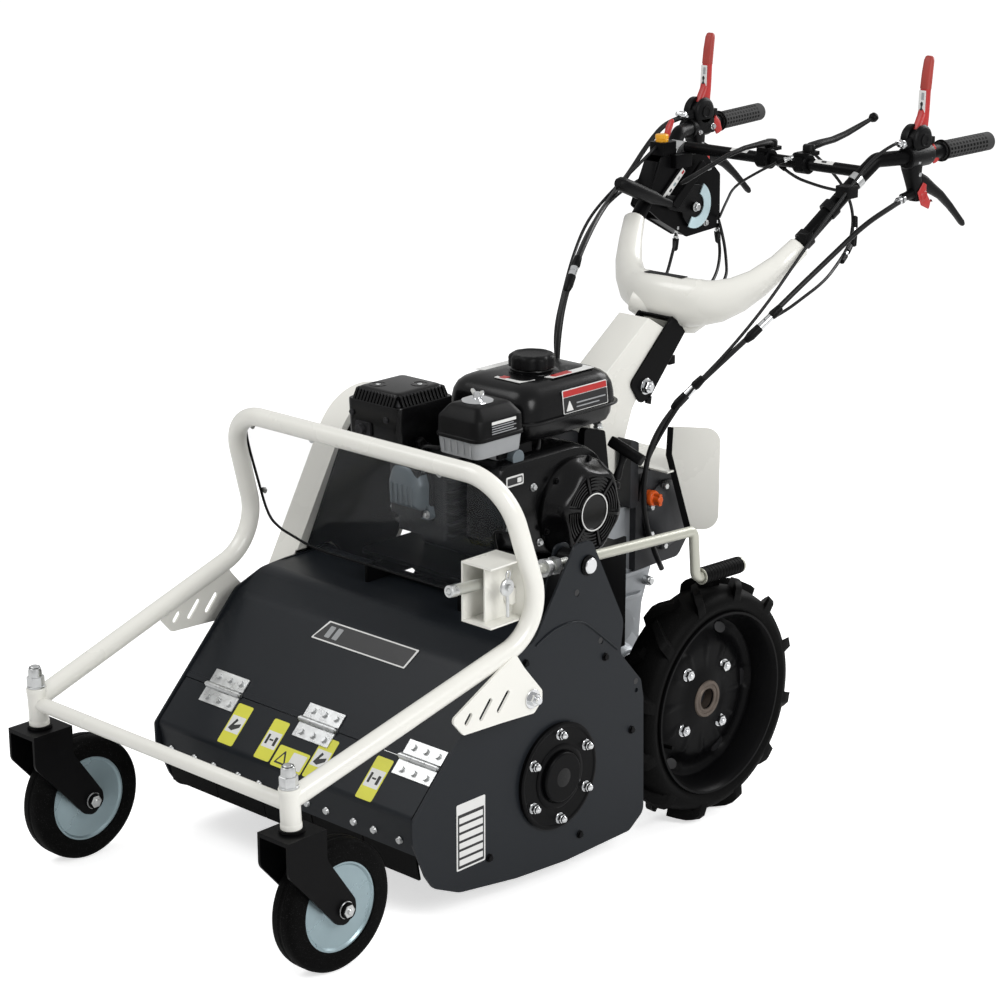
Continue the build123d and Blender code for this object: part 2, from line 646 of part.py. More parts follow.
with BuildPart() as fan_shroud:
    with BuildSketch(side(case_right)):
        with Locations(at(crank_aft, crank_up)):
            Circle(100)
        with BuildLine():
            Polyline(*[at(*p) for p in [(612, 505), (612, 652), (800, 652), (800, 452), (760, 462)]],
                     close=True)
        make_face()
    extrude(amount=69)
    fillet(fan_shroud.edges().group_by(Axis.X)[-1], 12)
save(fan_shroud, "fan_shroud")

recoil_face = case_right + 69
with BuildPart() as recoil_cover:
    with BuildSketch(side(recoil_face)):
        with Locations(at(crank_aft, crank_up)):
            Circle(90)
    extrude(amount=14)
    with BuildSketch(side(recoil_face + 14)):
        with Locations(at(crank_aft, crank_up)):
            Circle(78)
    extrude(amount=30, taper=14)
    fillet(recoil_cover.edges().group_by(Axis.X)[-1], 9)
    with BuildSketch(side(recoil_face + 34)):
        with Locations(at(crank_aft, crank_up)):
            with PolarLocations(46, 12):
                SlotOverall(24, 5, rotation=0)
    extrude(amount=12, mode=Mode.SUBTRACT)
    with BuildSketch(side(recoil_face)):
        with Locations(at(crank_aft, crank_up)):
            with PolarLocations(84, 6):
                Circle(9)
    extrude(amount=22)
    with BuildSketch(side(recoil_face + 44)):
        with Locations(at(crank_aft, crank_up)):
            Circle(26)
    extrude(amount=3)
save(recoil_cover, "recoil_cover")

pull_dir = heading(0.42, 0.9)
with BuildPart() as recoil_handle:
    rod(point(168, 891, 575), point(168, 891, 575) + pull_dir * 42, 2.5)
    rod(point(168, 891, 575) + pull_dir * 34, point(168, 891, 575) + pull_dir * 48, 9)
    rod(point(137, 912, 635), point(208, 912, 613), 10)
save(recoil_handle, "recoil_handle")

with BuildPart() as muffler:
    block(-150, -30, 562, 692, 646, 746, 16)
    fillet(muffler.faces().sort_by(Axis.Z)[-1].edges(), 9)
    block(-147, -33, 565, 689, 640, 743, 14, Mode.SUBTRACT)
    for slot in range(6):
        x = -132 + 15.5 * slot
        block(x, x + 7, 560, 600, 700, 728, 0.0, Mode.SUBTRACT)
        block(x, x + 7, 610, 650, 738, 750, 0.0, Mode.SUBTRACT)
    for slot in range(6):
        aft = 576 + 17 * slot
        block(-50, -20, aft, aft + 7, 690, 724, 0.0, Mode.SUBTRACT)
    block(-147.5, -46, 578, 680, 648, 718, 20)
save(muffler, "muffler")

with BuildPart() as air_filter_base:
    block(44, 143, 572, 688, 669, 698, 18)
    block(62, 124, 640, 687, 653, 669, 8)
save(air_filter_base, "air_filter_base")

with BuildPart() as air_filter_cover:
    block(42, 145, 570, 690, 698.5, 754, 20)
    fillet(air_filter_cover.faces().sort_by(Axis.Z)[-1].edges(), 12)
    rod(point(90, 628, 712), point(90, 628, 762), 5 + running_gap, Mode.SUBTRACT)
save(air_filter_cover, "air_filter_cover")

with BuildPart() as air_filter_nut:
    rod(point(90, 628, 714), point(90, 628, 758), 5)
    rod(point(90, 628, 754.5), point(90, 628, 758), 24)
    rod(point(90, 628, 756), point(90, 628, 766), 9)
    block(73, 107, 625, 631, 760, 774)
save(air_filter_nut, "air_filter_nut")

tank_top = 762.0
with BuildPart() as fuel_tank:
    block(-70, 125, 708, 954, 660, tank_top, 34)
    fillet(fuel_tank.faces().sort_by(Axis.Z)[-1].edges(), 22)
    fillet(fuel_tank.faces().sort_by(Axis.Z)[0].edges(), 14)
    block(-76, 131, 702, 960, 696, 700, 38)
    rod(point(34, 822, tank_top - 2), point(34, 822, tank_top + 4), 32)
    rod(point(34, 822, tank_top - 16), point(34, 822, tank_top + 5), 24 + running_gap, Mode.SUBTRACT)
save(fuel_tank, "fuel_tank")

with BuildPart() as fuel_cap:
    rod(point(34, 822, tank_top - 14), point(34, 822, tank_top + 5), 24)
    rod(point(34, 822, tank_top + 4.5), point(34, 822, tank_top + 34), 39)
    fillet(fuel_cap.edges().group_by(Axis.Z)[-1], 4)
save(fuel_cap, "fuel_cap")

# ---- handlebar column ---------------------------------------------------------------------------------
column_half = 35.0
tilt_aft, tilt_up = 1118.0, 677.0
tilt_pin = 8.0
clamp_x = column_half + panel_gap
with BuildPart() as handlebar_column:
    slab(-column_half, 2 * column_half,
         [(1118, 792), (1185, 765), (1088, 640), (1058, 560), (1058, 470), (950, 470), (955, 560),
          (985, 670), (1020, 722)], [8, 8, 80, 30, 3, 3, 60, 60, 40])
    cross_rod(tilt_aft, tilt_up, -60, 60, tilt_pin + running_gap, Mode.SUBTRACT)
save(handlebar_column, "handlebar_column")

with BuildPart() as column_clamp:
    for x in (-clamp_x - 5, clamp_x):
        slab(x, 5, [(1076, 688), (1104, 646), (1132, 655), (1232, 764), (1190, 794)], [5, 5, 5, 6, 6])
    cross_rod(tilt_aft, tilt_up, -56, 56, tilt_pin)
    for hand in (-1, 1):
        cross_rod(tilt_aft, tilt_up, hand * 40.5, hand * 44, 15)
        cross_rod(tilt_aft, tilt_up, hand * 44, hand * 52, 12)
save(column_clamp, "column_clamp")

handle_path = [(188, 1345, 907), (215, 1478, 1014), (232, 1530, 1058), (258, 1600, 1058), (272, 1820, 1062)]
handle_bends = [60, 22, 34]
handle_radius = 14.0


def handle_run(hand):
    return [point(hand * x, aft, up) for x, aft, up in handle_path]


yoke_path = [(0, 1232, 812), (70, 1238, 812), (150, 1290, 850), (195, 1358, 920)]
with BuildPart() as handlebar_yoke:
    for hand in (-1, 1):
        with BuildLine() as arm:
            Spline(*[point(hand * x, aft, up) for x, aft, up in yoke_path],
                   tangents=[Vector(hand, 0, 0), point(hand * 20, 78, 90) - point(0, 0, 0)])
        route = arm.wires()[0]
        with BuildSketch(Plane(origin=route @ 0, z_dir=route % 0)) as root_section:
            Circle(33)
        with BuildSketch(Plane(origin=route @ 0.5, z_dir=route % 0.5)) as middle_section:
            Circle(29)
        with BuildSketch(Plane(origin=route @ 1, z_dir=route % 1)) as tip_section:
            Circle(23)
        sweep([root_section.sketch, middle_section.sketch, tip_section.sketch], path=route, multisection=True)
    slab(-clamp_x, 2 * clamp_x,
         [(1194, 804), (1242, 762), (1268, 800), (1262, 842), (1222, 842)], [6, 6, 20, 20, 20])
    for hand in (-1, 1):
        pipe(handle_run(hand), handle_bends, handle_radius, Mode.SUBTRACT)
save(handlebar_yoke, "handlebar_yoke")

with BuildPart() as handlebar_tubes:
    for hand in (-1, 1):
        pipe(handle_run(hand), handle_bends, handle_radius)
    cross_rod(1505, 1038, -224, 224, 11)
save(handlebar_tubes, "handlebar_tubes")

with BuildPart() as handlebar_grips:
    for hand in (-1, 1):
        bend, end = handle_run(hand)[-2:]
        rod(bend + (end - bend) * 0.41, bend + (end - bend) * 1.055, 17.5)
        rod(bend + (end - bend) * 0.3, end, handle_radius, Mode.SUBTRACT)
save(handlebar_grips, "handlebar_grips")

lever_hub = (1622.0, 1090.0)
with BuildPart() as lever_perches:
    for hand in (-1, 1):
        x = hand * 256
        slab(x - 17, 34, [(1598, 1040), (1652, 1040), (1652, 1073), (1598, 1073)], 8)
        for cheek in (x - 17, x + 12):
            slab(cheek, 5, [(1604, 1068), (1644, 1068), (1640, 1106), (1606, 1106)], [1, 1, 14, 14])
        rod(point(x, 1608, 1042), point(x, 1613, 1001), 12)
        for cheek in (x - 13, x + 8):
            slab(cheek, 5, [(1602, 1004), (1650, 998), (1654, 972), (1608, 968)], [2, 8, 8, 8])
        cross_rod(1640, 984, x - 14, x + 14, 4)
        cross_rod(*lever_hub, x - 18, x + 18, 5)
        pipe(handle_run(hand), handle_bends, handle_radius, Mode.SUBTRACT)
    for x in (88, 0):
        cross_rod(1505, 1038, x - 14, x + 14, 17)
        cross_rod(1505, 1038, x - 15, x + 15, 11, Mode.SUBTRACT)
        block(x - 12, x + 12, 1493, 1535, 1054, 1059, 3)
        rod(point(x, 1520, 1050), point(x, 1520, 1078), 4)
save(lever_perches, "lever_perches")

for hand, hand_name in ((1, "left"), (-1, "right")):
    x = hand * 256
    with BuildPart() as clutch_lever:
        cross_rod(*lever_hub, x - 11, x + 11, 15)
        slab(x - 7, 14, [(1606, 1092), (1634, 1092), (1655, 1150), (1650, 1180), (1658, 1236), (1646, 1240),
                         (1630, 1180), (1626, 1150)], [10, 10, 20, 20, 4, 4, 20, 20])
        cross_rod(*lever_hub, x - 13, x + 13, 5 + running_gap, Mode.SUBTRACT)
    save(clutch_lever, f"clutch_lever_{hand_name}")

    with BuildPart() as brake_lever:
        cross_rod(1640, 984, x - 7, x + 7, 11)
        slab(x - 6, 12, [(1636, 994), (1700, 990), (1752, 968), (1788, 912), (1800, 916), (1764, 986),
                         (1706, 1006), (1650, 1008)], [4, 20, 30, 3, 3, 30, 20, 6])
        cross_rod(1640, 984, x - 9, x + 9, 4 + running_gap, Mode.SUBTRACT)
    save(brake_lever, f"brake_lever_{hand_name}")

with BuildPart() as gear_lever:
    rod(point(88, 1520, 1059.5), point(88, 1520, 1072), 11)
    rod(point(88, 1520, 1059), point(88, 1520, 1073), 4 + running_gap, Mode.SUBTRACT)
    pipe([point(88, 1530, 1067), point(92, 1610, 1072), point(94, 1712, 1100)], [60], 5)
    with BuildSketch(Plane(origin=point(94, 1718, 1102), z_dir=(0, 1, 0))):
        Circle(9)
    extrude(amount=9, both=True, taper=30)
save(gear_lever, "gear_lever")

with BuildPart() as throttle_lever:
    rod(point(0, 1520, 1059.5), point(0, 1520, 1072), 11)
    rod(point(0, 1520, 1059), point(0, 1520, 1073), 4 + running_gap, Mode.SUBTRACT)
    pipe([point(0, 1510, 1067), point(0, 1420, 1064), point(0, 1266, 1024)], [60], 5)
    with BuildSketch(Plane(origin=point(0, 1262, 1023), z_dir=(0, 1, 0))):
        Circle(9)
    extrude(amount=9, both=True, taper=30)
save(throttle_lever, "throttle_lever")

console_x = -200.0
paddle_aft, paddle_up = 1520.0, 925.0
switch_up = 1056.0
with BuildPart() as control_console:
    slab(console_x - 26, 40, [(1380, 938), (1426, 1030), (1556, 1020), (1604, 975), (1606, 870), (1504, 864),
                              (1428, 904)], [14, 14, 14, 14, 14, 14, 14])
    cross_rod(paddle_aft, paddle_up, console_x + 10, console_x + 40, 7)
    block(console_x - 20, console_x + 18, 1424, 1470, 1029, switch_up, 6)
    rod(point(console_x - 1, 1447, switch_up - 5.5), point(console_x - 1, 1447, switch_up + 1), 13.4, Mode.SUBTRACT)
    pipe(handle_run(-1), handle_bends, handle_radius, Mode.SUBTRACT)
    cross_rod(1505, 1038, -224, -170, 11, Mode.SUBTRACT)
save(control_console, "control_console")

with BuildPart() as shift_paddle:
    cross_rod(paddle_aft, paddle_up, console_x + 15, console_x + 24, 46)
    cross_rod(paddle_aft, paddle_up, console_x + 14, console_x + 26, 7 + running_gap, Mode.SUBTRACT)
    slab(console_x + 17, 6, [(1480, 918), (1420, 930), (1350, 972), (1286, 990), (1280, 1006), (1350, 996),
                             (1426, 954), (1484, 944)], [4, 20, 20, 3, 3, 20, 20, 4])
save(shift_paddle, "shift_paddle")

with BuildPart() as kill_switch:
    rod(point(console_x - 1, 1447, switch_up - 3), point(console_x - 1, 1447, switch_up + 10), 13)
save(kill_switch, "kill_switch")


def cable(stations, radius):
    """A cable through hand-placed points, as straight runs joined by tangent arcs."""
    nodes = [point(*station) for station in stations]
    bends = []
    for before, here, after in zip(nodes, nodes[1:], nodes[2:]):
        arriving, leaving = here - before, after - here
        half_turn = radians(arriving.get_angle(leaving)) / 2
        bends.append(0.45 * min(arriving.length, leaving.length) / tan(half_turn))
    return pipe(nodes, bends, radius)


cable_routes = {
    "cable_left": (5.0, [(256, 1597, 984), (264, 1540, 975), (256, 1465, 950), (243, 1388, 902),
                         (225, 1310, 850), (200, 1226, 785), (150, 1165, 712), (104, 1112, 645),
                         (88, 1072, 580), (86, 1060, 500), (92, 1066, 420), (92, 1110, 345)]),
    "cable_right": (5.0, [(-256, 1594, 1082), (-262, 1535, 1080), (-256, 1470, 1045), (-238, 1390, 995),
                          (-196, 1290, 968), (-140, 1185, 950), (-92, 1085, 905), (-62, 1010, 840),
                          (-48, 978, 765), (-48, 976, 690), (-56, 968, 610), (-72, 978, 530),
                          (-88, 990, 460)]),
    "cable_console": (3.0, [(88, 1540, 1050), (112, 1585, 1005), (138, 1600, 945), (160, 1562, 890),
                            (182, 1490, 862), (205, 1420, 845), (208, 1340, 822)]),
}
for cable_name, (cable_radius, stations) in cable_routes.items():
    with BuildPart() as cable_part:
        cable(stations, cable_radius)
    save(cable_part, cable_name)
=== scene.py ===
"""Walk-behind flail brush mower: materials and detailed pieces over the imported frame.

Lengths in this script are millimetres in machine stations, as in the part's own layout:
x to the operator's left, aft behind the castor stems, up from the castors' ground.
P() turns a place into metres of the row frame, and D() turns a direction into a unit vector.
In short loops a and u stand for aft and up. M holds the materials.
"""

from contextlib import contextmanager
from math import cos, pi, radians, sin

import bmesh
import bpy
from mathutils import Matrix, Vector


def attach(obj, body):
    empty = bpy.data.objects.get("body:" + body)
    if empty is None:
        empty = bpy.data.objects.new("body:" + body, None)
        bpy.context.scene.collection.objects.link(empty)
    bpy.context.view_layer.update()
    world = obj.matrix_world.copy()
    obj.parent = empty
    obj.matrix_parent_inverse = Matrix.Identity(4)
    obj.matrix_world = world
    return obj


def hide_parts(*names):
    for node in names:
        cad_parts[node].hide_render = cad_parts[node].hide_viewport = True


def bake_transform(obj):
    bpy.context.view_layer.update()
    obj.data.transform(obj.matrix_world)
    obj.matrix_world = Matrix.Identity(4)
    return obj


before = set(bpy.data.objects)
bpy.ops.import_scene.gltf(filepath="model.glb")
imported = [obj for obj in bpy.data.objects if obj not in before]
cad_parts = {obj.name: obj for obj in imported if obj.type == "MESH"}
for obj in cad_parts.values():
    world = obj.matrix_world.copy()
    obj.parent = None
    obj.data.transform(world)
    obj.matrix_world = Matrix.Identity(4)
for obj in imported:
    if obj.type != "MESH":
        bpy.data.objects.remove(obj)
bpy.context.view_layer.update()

# the machine stands nose-down by this angle, turned about the castors' axles
PITCH = radians(3.3)
PITCH_COS, PITCH_SIN = cos(PITCH), sin(PITCH)
CASTOR_AXLE = (78, 106)
STEM_Y = -865.0


def P(x, aft, up):
    """A place on the machine, in metres of the row frame."""
    run, rise = aft - CASTOR_AXLE[0], up - CASTOR_AXLE[1]
    return Vector((x, STEM_Y + CASTOR_AXLE[0] + run * PITCH_COS - rise * PITCH_SIN,
                   CASTOR_AXLE[1] + run * PITCH_SIN + rise * PITCH_COS)) / 1000


def D(x, aft, up):
    """A direction on the machine, as a unit vector of the row frame."""
    return Vector((x, aft * PITCH_COS - up * PITCH_SIN, aft * PITCH_SIN + up * PITCH_COS)).normalized()


LEFT, AFT, UP = D(1, 0, 0), D(0, 1, 0), D(0, 0, 1)

# ---- places that several pieces share ------------------------------------------------------------
# half widths and crosswise stations
CASTOR_X = 304
PLATE_X = 312
PERCH_X = 256
STARTER_X = 149
# (aft, up) of crosswise axes
HINGE_PINS = (312, 255)
ROTOR = (581, 165)
TRUNNION = (654, 511)
BRACKET_NUT = (445, 528)
CRANKSHAFT = (800, 552)
STARTER = (804, 543)
AXLE = (1021, 165.6)
GEARBOX_BOSS = (1140, 440)
DIPSTICK = (1092, 481)
TILT_BOLT = (1118, 677)
PADDLE_PIVOT = (1520, 925)
CROSSBAR = (1505, 1038)
LEVER_PIVOT = (1520, 1060)
# (x, aft) of upright axes
FILTER_STUD = (90, 628)
TANK_NECK = (34, 822)

# ---- camera --------------------------------------------------------------------------------------
azimuth, elevation = radians(43.2), radians(16.8)
back = D(sin(azimuth) * cos(elevation), -cos(azimuth) * cos(elevation), sin(elevation))
right = D(cos(azimuth), sin(azimuth), 0)
camera_up = back.cross(right)
camera = bpy.data.objects.new("camera", bpy.data.cameras.new("camera"))
bpy.context.collection.objects.link(camera)
camera.data.sensor_width = 36
camera.data.lens = 95.11
camera.data.clip_start, camera.data.clip_end = 0.1, 60
turned = Matrix((right, camera_up, back)).transposed().to_4x4()
camera.matrix_world = Matrix.Translation(P(3004.1, -2421.0, 1854.7)) @ turned
bpy.context.scene.camera = camera


# ---- light ---------------------------------------------------------------------------------------
def area_light(name, place, target, size, power):
    data = bpy.data.lights.new(name, "AREA")
    data.shape, data.size, data.energy = "DISK", size, power
    lamp = bpy.data.objects.new(name, data)
    lamp.location = place
    lamp.rotation_euler = (Vector(target) - Vector(place)).to_track_quat("-Z", "Y").to_euler()
    bpy.context.collection.objects.link(lamp)


def camera_sees(tree, otherwise, straight, target):
    """Gives an input one value for rays straight from the camera and another for the rest."""
    path = tree.nodes.new("ShaderNodeLightPath")
    amount = tree.nodes.new("ShaderNodeMapRange")
    amount.inputs["To Min"].default_value = otherwise
    amount.inputs["To Max"].default_value = straight
    tree.links.new(path.outputs["Is Camera Ray"], amount.inputs["Value"])
    tree.links.new(amount.outputs["Result"], target)


bpy.context.scene.view_settings.view_transform = "Standard"
area_light("key_light", (-1.8, -2.2, 3.8), (0, 0, 0.4), 2.4, 50)
area_light("fill_light", (3.6, -0.6, 2.6), (0, 0, 0.4), 2.0, 80)
area_light("back_light", (0.3, 3.4, 2.6), (0, 0, 0.6), 2.0, 70)
world = bpy.data.worlds.new("studio")
bpy.context.scene.world = world
world.use_nodes = True
sky = world.node_tree.nodes["Background"]
sky.inputs["Color"].default_value = (1, 1, 1, 1)
# the background is brighter for the camera than it is as a light
camera_sees(world.node_tree, 0.54, 1.1, sky.inputs["Strength"])


# ---- materials -----------------------------------------------------------------------------------
def new_material(name):
    """A new material with its nodes, its links and its main shader."""
    made = bpy.data.materials.new(name)
    made.use_nodes = True
    return made, made.node_tree.nodes, made.node_tree.links, made.node_tree.nodes["Principled BSDF"]


def srgb(*channels):
    """Screen colours from 0 to 255 as linear light."""
    return tuple(((v / 255 + 0.055) / 1.055) ** 2.4 if v > 10 else v / 255 / 12.92 for v in channels)


def surface(name, colour, rough, metallic=0.0, vary=0.08, scale=9.0, grain=900, bump=0.05,
            rough_vary=0.06, coat=0.0, specks=0.0, stretch=(1, 1, 1), gleam=0.5):
    """A painted, plated or moulded surface: mottled colour, uneven gloss and a fine grain."""
    made, nodes, links, shader = new_material(name)
    coords = nodes.new("ShaderNodeTexCoord")
    mapping = nodes.new("ShaderNodeMapping")
    mapping.inputs["Scale"].default_value = stretch
    links.new(coords.outputs["Object"], mapping.inputs["Vector"])
    mottle = nodes.new("ShaderNodeTexNoise")
    mottle.inputs["Scale"].default_value = scale
    mottle.inputs["Detail"].default_value = 6
    links.new(mapping.outputs["Vector"], mottle.inputs["Vector"])
    ramp = nodes.new("ShaderNodeValToRGB")
    dark = [c * (1 - vary) for c in colour]
    light = [min(1.0, c * (1 + vary) + 0.004 * vary) for c in colour]
    ramp.color_ramp.elements[0].position, ramp.color_ramp.elements[1].position = 0.3, 0.7
    ramp.color_ramp.elements[0].color = (*dark, 1)
    ramp.color_ramp.elements[1].color = (*light, 1)
    links.new(mottle.outputs["Fac"], ramp.inputs["Fac"])
    colour_out = ramp.outputs["Color"]
    fine = nodes.new("ShaderNodeTexNoise")
    fine.inputs["Scale"].default_value = grain
    fine.inputs["Detail"].default_value = 3
    links.new(mapping.outputs["Vector"], fine.inputs["Vector"])
    if specks:
        dust = nodes.new("ShaderNodeValToRGB")
        dust.color_ramp.elements[0].position, dust.color_ramp.elements[1].position = 0.62, 0.74
        links.new(fine.outputs["Fac"], dust.inputs["Fac"])
        mixed = nodes.new("ShaderNodeMixRGB")
        bright = [min(1, c * (1 + specks) + 0.02 * specks) for c in colour]
        mixed.inputs["Color2"].default_value = (*bright, 1)
        links.new(dust.outputs["Color"], mixed.inputs["Fac"])
        links.new(colour_out, mixed.inputs["Color1"])
        colour_out = mixed.outputs["Color"]
    links.new(colour_out, shader.inputs["Base Color"])
    gloss = nodes.new("ShaderNodeMapRange")
    gloss.inputs["To Min"].default_value = max(0.02, rough - rough_vary)
    gloss.inputs["To Max"].default_value = min(1.0, rough + rough_vary)
    links.new(mottle.outputs["Fac"], gloss.inputs["Value"])
    links.new(gloss.outputs["Result"], shader.inputs["Roughness"])
    relief = nodes.new("ShaderNodeBump")
    relief.inputs["Strength"].default_value = bump
    relief.inputs["Distance"].default_value = 0.0006
    links.new(fine.outputs["Fac"], relief.inputs["Height"])
    links.new(relief.outputs["Normal"], shader.inputs["Normal"])
    shader.inputs["Metallic"].default_value = metallic
    shader.inputs["Specular IOR Level"].default_value = gleam
    if coat:
        shader.inputs["Coat Weight"].default_value = coat
        shader.inputs["Coat Roughness"].default_value = 0.12
    return made


def clear_sheet():
    """Thin clear plastic, a little smudged."""
    made, nodes, links, shader = new_material("clear_sheet")
    shader.inputs["Base Color"].default_value = (0.05, 0.055, 0.06, 1)
    shader.inputs["Alpha"].default_value = 0.15
    shader.inputs["Transmission Weight"].default_value = 0.0
    shader.inputs["IOR"].default_value = 1.49
    shader.inputs["Specular IOR Level"].default_value = 0.7
    smudge = nodes.new("ShaderNodeTexNoise")
    smudge.inputs["Scale"].default_value = 12
    smudge_range = nodes.new("ShaderNodeMapRange")
    smudge_range.inputs["To Min"].default_value = 0.03
    smudge_range.inputs["To Max"].default_value = 0.1
    links.new(smudge.outputs["Fac"], smudge_range.inputs["Value"])
    links.new(smudge_range.outputs["Result"], shader.inputs["Roughness"])
    return made


M = {
    "deck": surface("charcoal_paint", srgb(29, 32, 36), 0.34, gleam=0.16, vary=0.05, scale=3, bump=0.08),
    "white": surface("white_enamel", srgb(233, 232, 225), 0.28, vary=0.02, scale=4, grain=500, bump=0.05,
                     coat=0.25),
    "zinc": surface("zinc_plate", (0.62, 0.63, 0.63), 0.3, metallic=0.95, vary=0.14, scale=60, grain=1500,
                    bump=0.1, rough_vary=0.12),
    "steel": surface("drawn_steel", (0.5, 0.51, 0.5), 0.34, metallic=0.95, vary=0.12, scale=40, grain=1200,
                     bump=0.1, stretch=(1, 0.1, 1)),
    "black_metal": surface("black_enamel", srgb(9, 9, 10), 0.34, gleam=0.07, vary=0.1, scale=8, grain=800,
                           bump=0.08),
    "plastic": surface("black_plastic", srgb(10, 10, 11), 0.4, gleam=0.12, vary=0.1, scale=20, grain=2200,
                       bump=0.25),
    "gloss_black": surface("gloss_black_plastic", srgb(8, 8, 9), 0.24, gleam=0.24, vary=0.08, scale=10,
                           bump=0.05),
    "grey": surface("grey_plastic", srgb(150, 152, 154), 0.4, vary=0.05, scale=20, grain=1500, bump=0.15),
    "red": surface("red_plastic", srgb(176, 40, 38), 0.36, vary=0.08, scale=20, grain=1500, bump=0.12),
    "orange": surface("orange_plastic", srgb(214, 88, 24), 0.36, vary=0.08, scale=20, grain=1500, bump=0.1),
    "yellow": surface("yellow_vinyl", srgb(214, 212, 60), 0.36, vary=0.03, scale=30, bump=0.04),
    "label": surface("white_vinyl", srgb(222, 222, 220), 0.36, vary=0.03, scale=30, bump=0.03),
    # black for print, and also painted shade in the side plate holes, the rim windows and the muffler mouth
    "ink_and_shade": surface("print_and_shade_black", srgb(22, 22, 24), 0.42, vary=0.06, scale=40, bump=0.03),
    "rubber": surface("grip_rubber", srgb(7, 7, 7), 0.55, gleam=0.06, vary=0.12, scale=40, grain=1800,
                      bump=0.25),
    "cable": surface("cable_sheath", srgb(13, 13, 14), 0.42, gleam=0.3, vary=0.1, scale=60, grain=1500,
                     bump=0.08),
    "tyre": surface("tyre_rubber", srgb(6, 6, 6), 0.52, gleam=0.05, vary=0.16, scale=14, bump=0.3,
                    specks=0.8),
    "castor_tyre": surface("castor_rubber", srgb(5, 5, 5), 0.55, gleam=0.04, vary=0.18, scale=20, grain=600,
                           bump=0.35, specks=1.6),
    "alloy": surface("cast_aluminium", (0.42, 0.44, 0.46), 0.46, metallic=0.75, vary=0.12, scale=18,
                     grain=500, bump=0.35, rough_vary=0.1),
    "iron": surface("dark_casting", srgb(34, 35, 38), 0.5, metallic=0.2, vary=0.15, scale=18, grain=420,
                    bump=0.4),
    "rotor": surface("blackened_steel", srgb(50, 50, 52), 0.5, metallic=0.7, vary=0.2, scale=14, grain=500,
                     bump=0.3),
    "disc": surface("castor_disc", (0.3, 0.39, 0.42), 0.26, metallic=0.55, vary=0.14, scale=7, grain=800,
                    bump=0.05, rough_vary=0.1),
    "film": surface("pale_film", srgb(196, 220, 226), 0.3, vary=0.03, scale=20, bump=0.03),
    "crank": surface("pale_crank_paint", srgb(186, 186, 174), 0.32, metallic=0.25, vary=0.04, scale=12,
                     bump=0.04),
    "hub": surface("bare_hub", srgb(96, 86, 78), 0.45, metallic=0.6, vary=0.15, scale=50, bump=0.15),
    "floor": surface("floor_paper", srgb(240, 240, 240), 0.9, vary=0.005, scale=1.5, grain=60, bump=0.01,
                     gleam=0.1),
    "chrome": surface("bright_nut", (0.75, 0.76, 0.77), 0.14, metallic=1.0, vary=0.06, scale=50, bump=0.03,
                      rough_vary=0.05),
    "cast_grey": surface("cast_grey_paint", srgb(104, 114, 120), 0.38, metallic=0.3, vary=0.12, scale=20,
                         grain=500, bump=0.3),
    "dipped_red": surface("dipped_red_rubber", srgb(158, 52, 44), 0.5, vary=0.06, scale=30, grain=1800,
                          bump=0.2),
    "amber": surface("amber_plastic", srgb(226, 160, 24), 0.34, vary=0.06, scale=20, grain=1500, bump=0.1),
    "clear": clear_sheet(),
}
# the floor glows a little for the camera alone, so that it meets the white background
floor_tree = M["floor"].node_tree
floor_shader = floor_tree.nodes["Principled BSDF"]
floor_shader.inputs["Emission Color"].default_value = (1, 1, 1, 1)
camera_sees(floor_tree, 0.0, 0.62, floor_shader.inputs["Emission Strength"])

node_materials = {
    "deck": "deck_hood side_plate_left side_plate_right front_flap",
    "white": "front_frame belt_guard rear_guards handlebar_column",
    "zinc": "hinge_upper_leaves hinge_lower_leaves",
    "black_metal": "chassis_frame rotor_bearing_cover column_clamp handlebar_tubes castor_fork_left"
                   " castor_fork_right",
    "iron": "gearbox_casting crankcase cylinder_head",
    "alloy": "gearbox_housing",
    "rubber": "flap_skirt drive_belt",
    "rotor": "flail_rotor flail_row_1 flail_row_2 crank_pulley",
    "clear": "windshield",
    "orange": "gearbox_dipstick",
    "crank": "height_crank",
}
for key, names in node_materials.items():
    for node_name in names.split():
        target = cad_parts[node_name]
        target = bpy.data.objects[target] if isinstance(target, str) else target
        target.data.materials.clear()
        target.data.materials.append(M[key])


# ---- mesh making ---------------------------------------------------------------------------------
def finish_piece(name, bm, body, material, replaces=(), bevel=0.0, smooth=35):
    bmesh.ops.remove_doubles(bm, verts=bm.verts, dist=1e-6)
    bmesh.ops.recalc_face_normals(bm, faces=bm.faces)
    mesh = bpy.data.meshes.new(name)
    bm.to_mesh(mesh)
    bm.free()
    mesh.shade_smooth()
    mesh.set_sharp_from_angle(angle=radians(smooth))
    mesh.materials.append(M[material])
    made = bpy.data.objects.new(name, mesh)
    bpy.context.collection.objects.link(made)
    if bevel:
        edge = made.modifiers.new("edge", "BEVEL")
        edge.width, edge.segments, edge.limit_method = bevel / 1000, 2, "ANGLE"
        edge.angle_limit = radians(40)
        edge.harden_normals = False
    if replaces:
        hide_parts(*replaces)
    if body == "tilt":
        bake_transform(made)
    else:
        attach(made, body)
    return made


@contextmanager
def piece(name, body, material, replaces=(), **finish):
    """Hands out an empty mesh to fill, and then finishes it as one named piece."""
    bm = bmesh.new()
    yield bm
    finish_piece(name, bm, body, material, replaces, **finish)


def across(axis):
    """A unit vector square to the axis."""
    helper = LEFT if abs(axis.dot(LEFT)) < 0.9 else AFT
    return (helper - axis * helper.dot(axis)).normalized()


def loft(bm, rings, closed=False, caps=True):
    """Joins rings of points, each a list of equal length, into a skin."""
    made = [[bm.verts.new(p) for p in ring] for ring in rings]
    count = len(made[0])
    pairs = list(zip(made, made[1:])) + ([(made[-1], made[0])] if closed else [])
    for a, b in pairs:
        for k in range(count):
            bm.faces.new((a[k], a[(k + 1) % count], b[(k + 1) % count], b[k]))
    if caps and not closed:
        bm.faces.new(list(reversed(made[0])))
        bm.faces.new(made[-1])


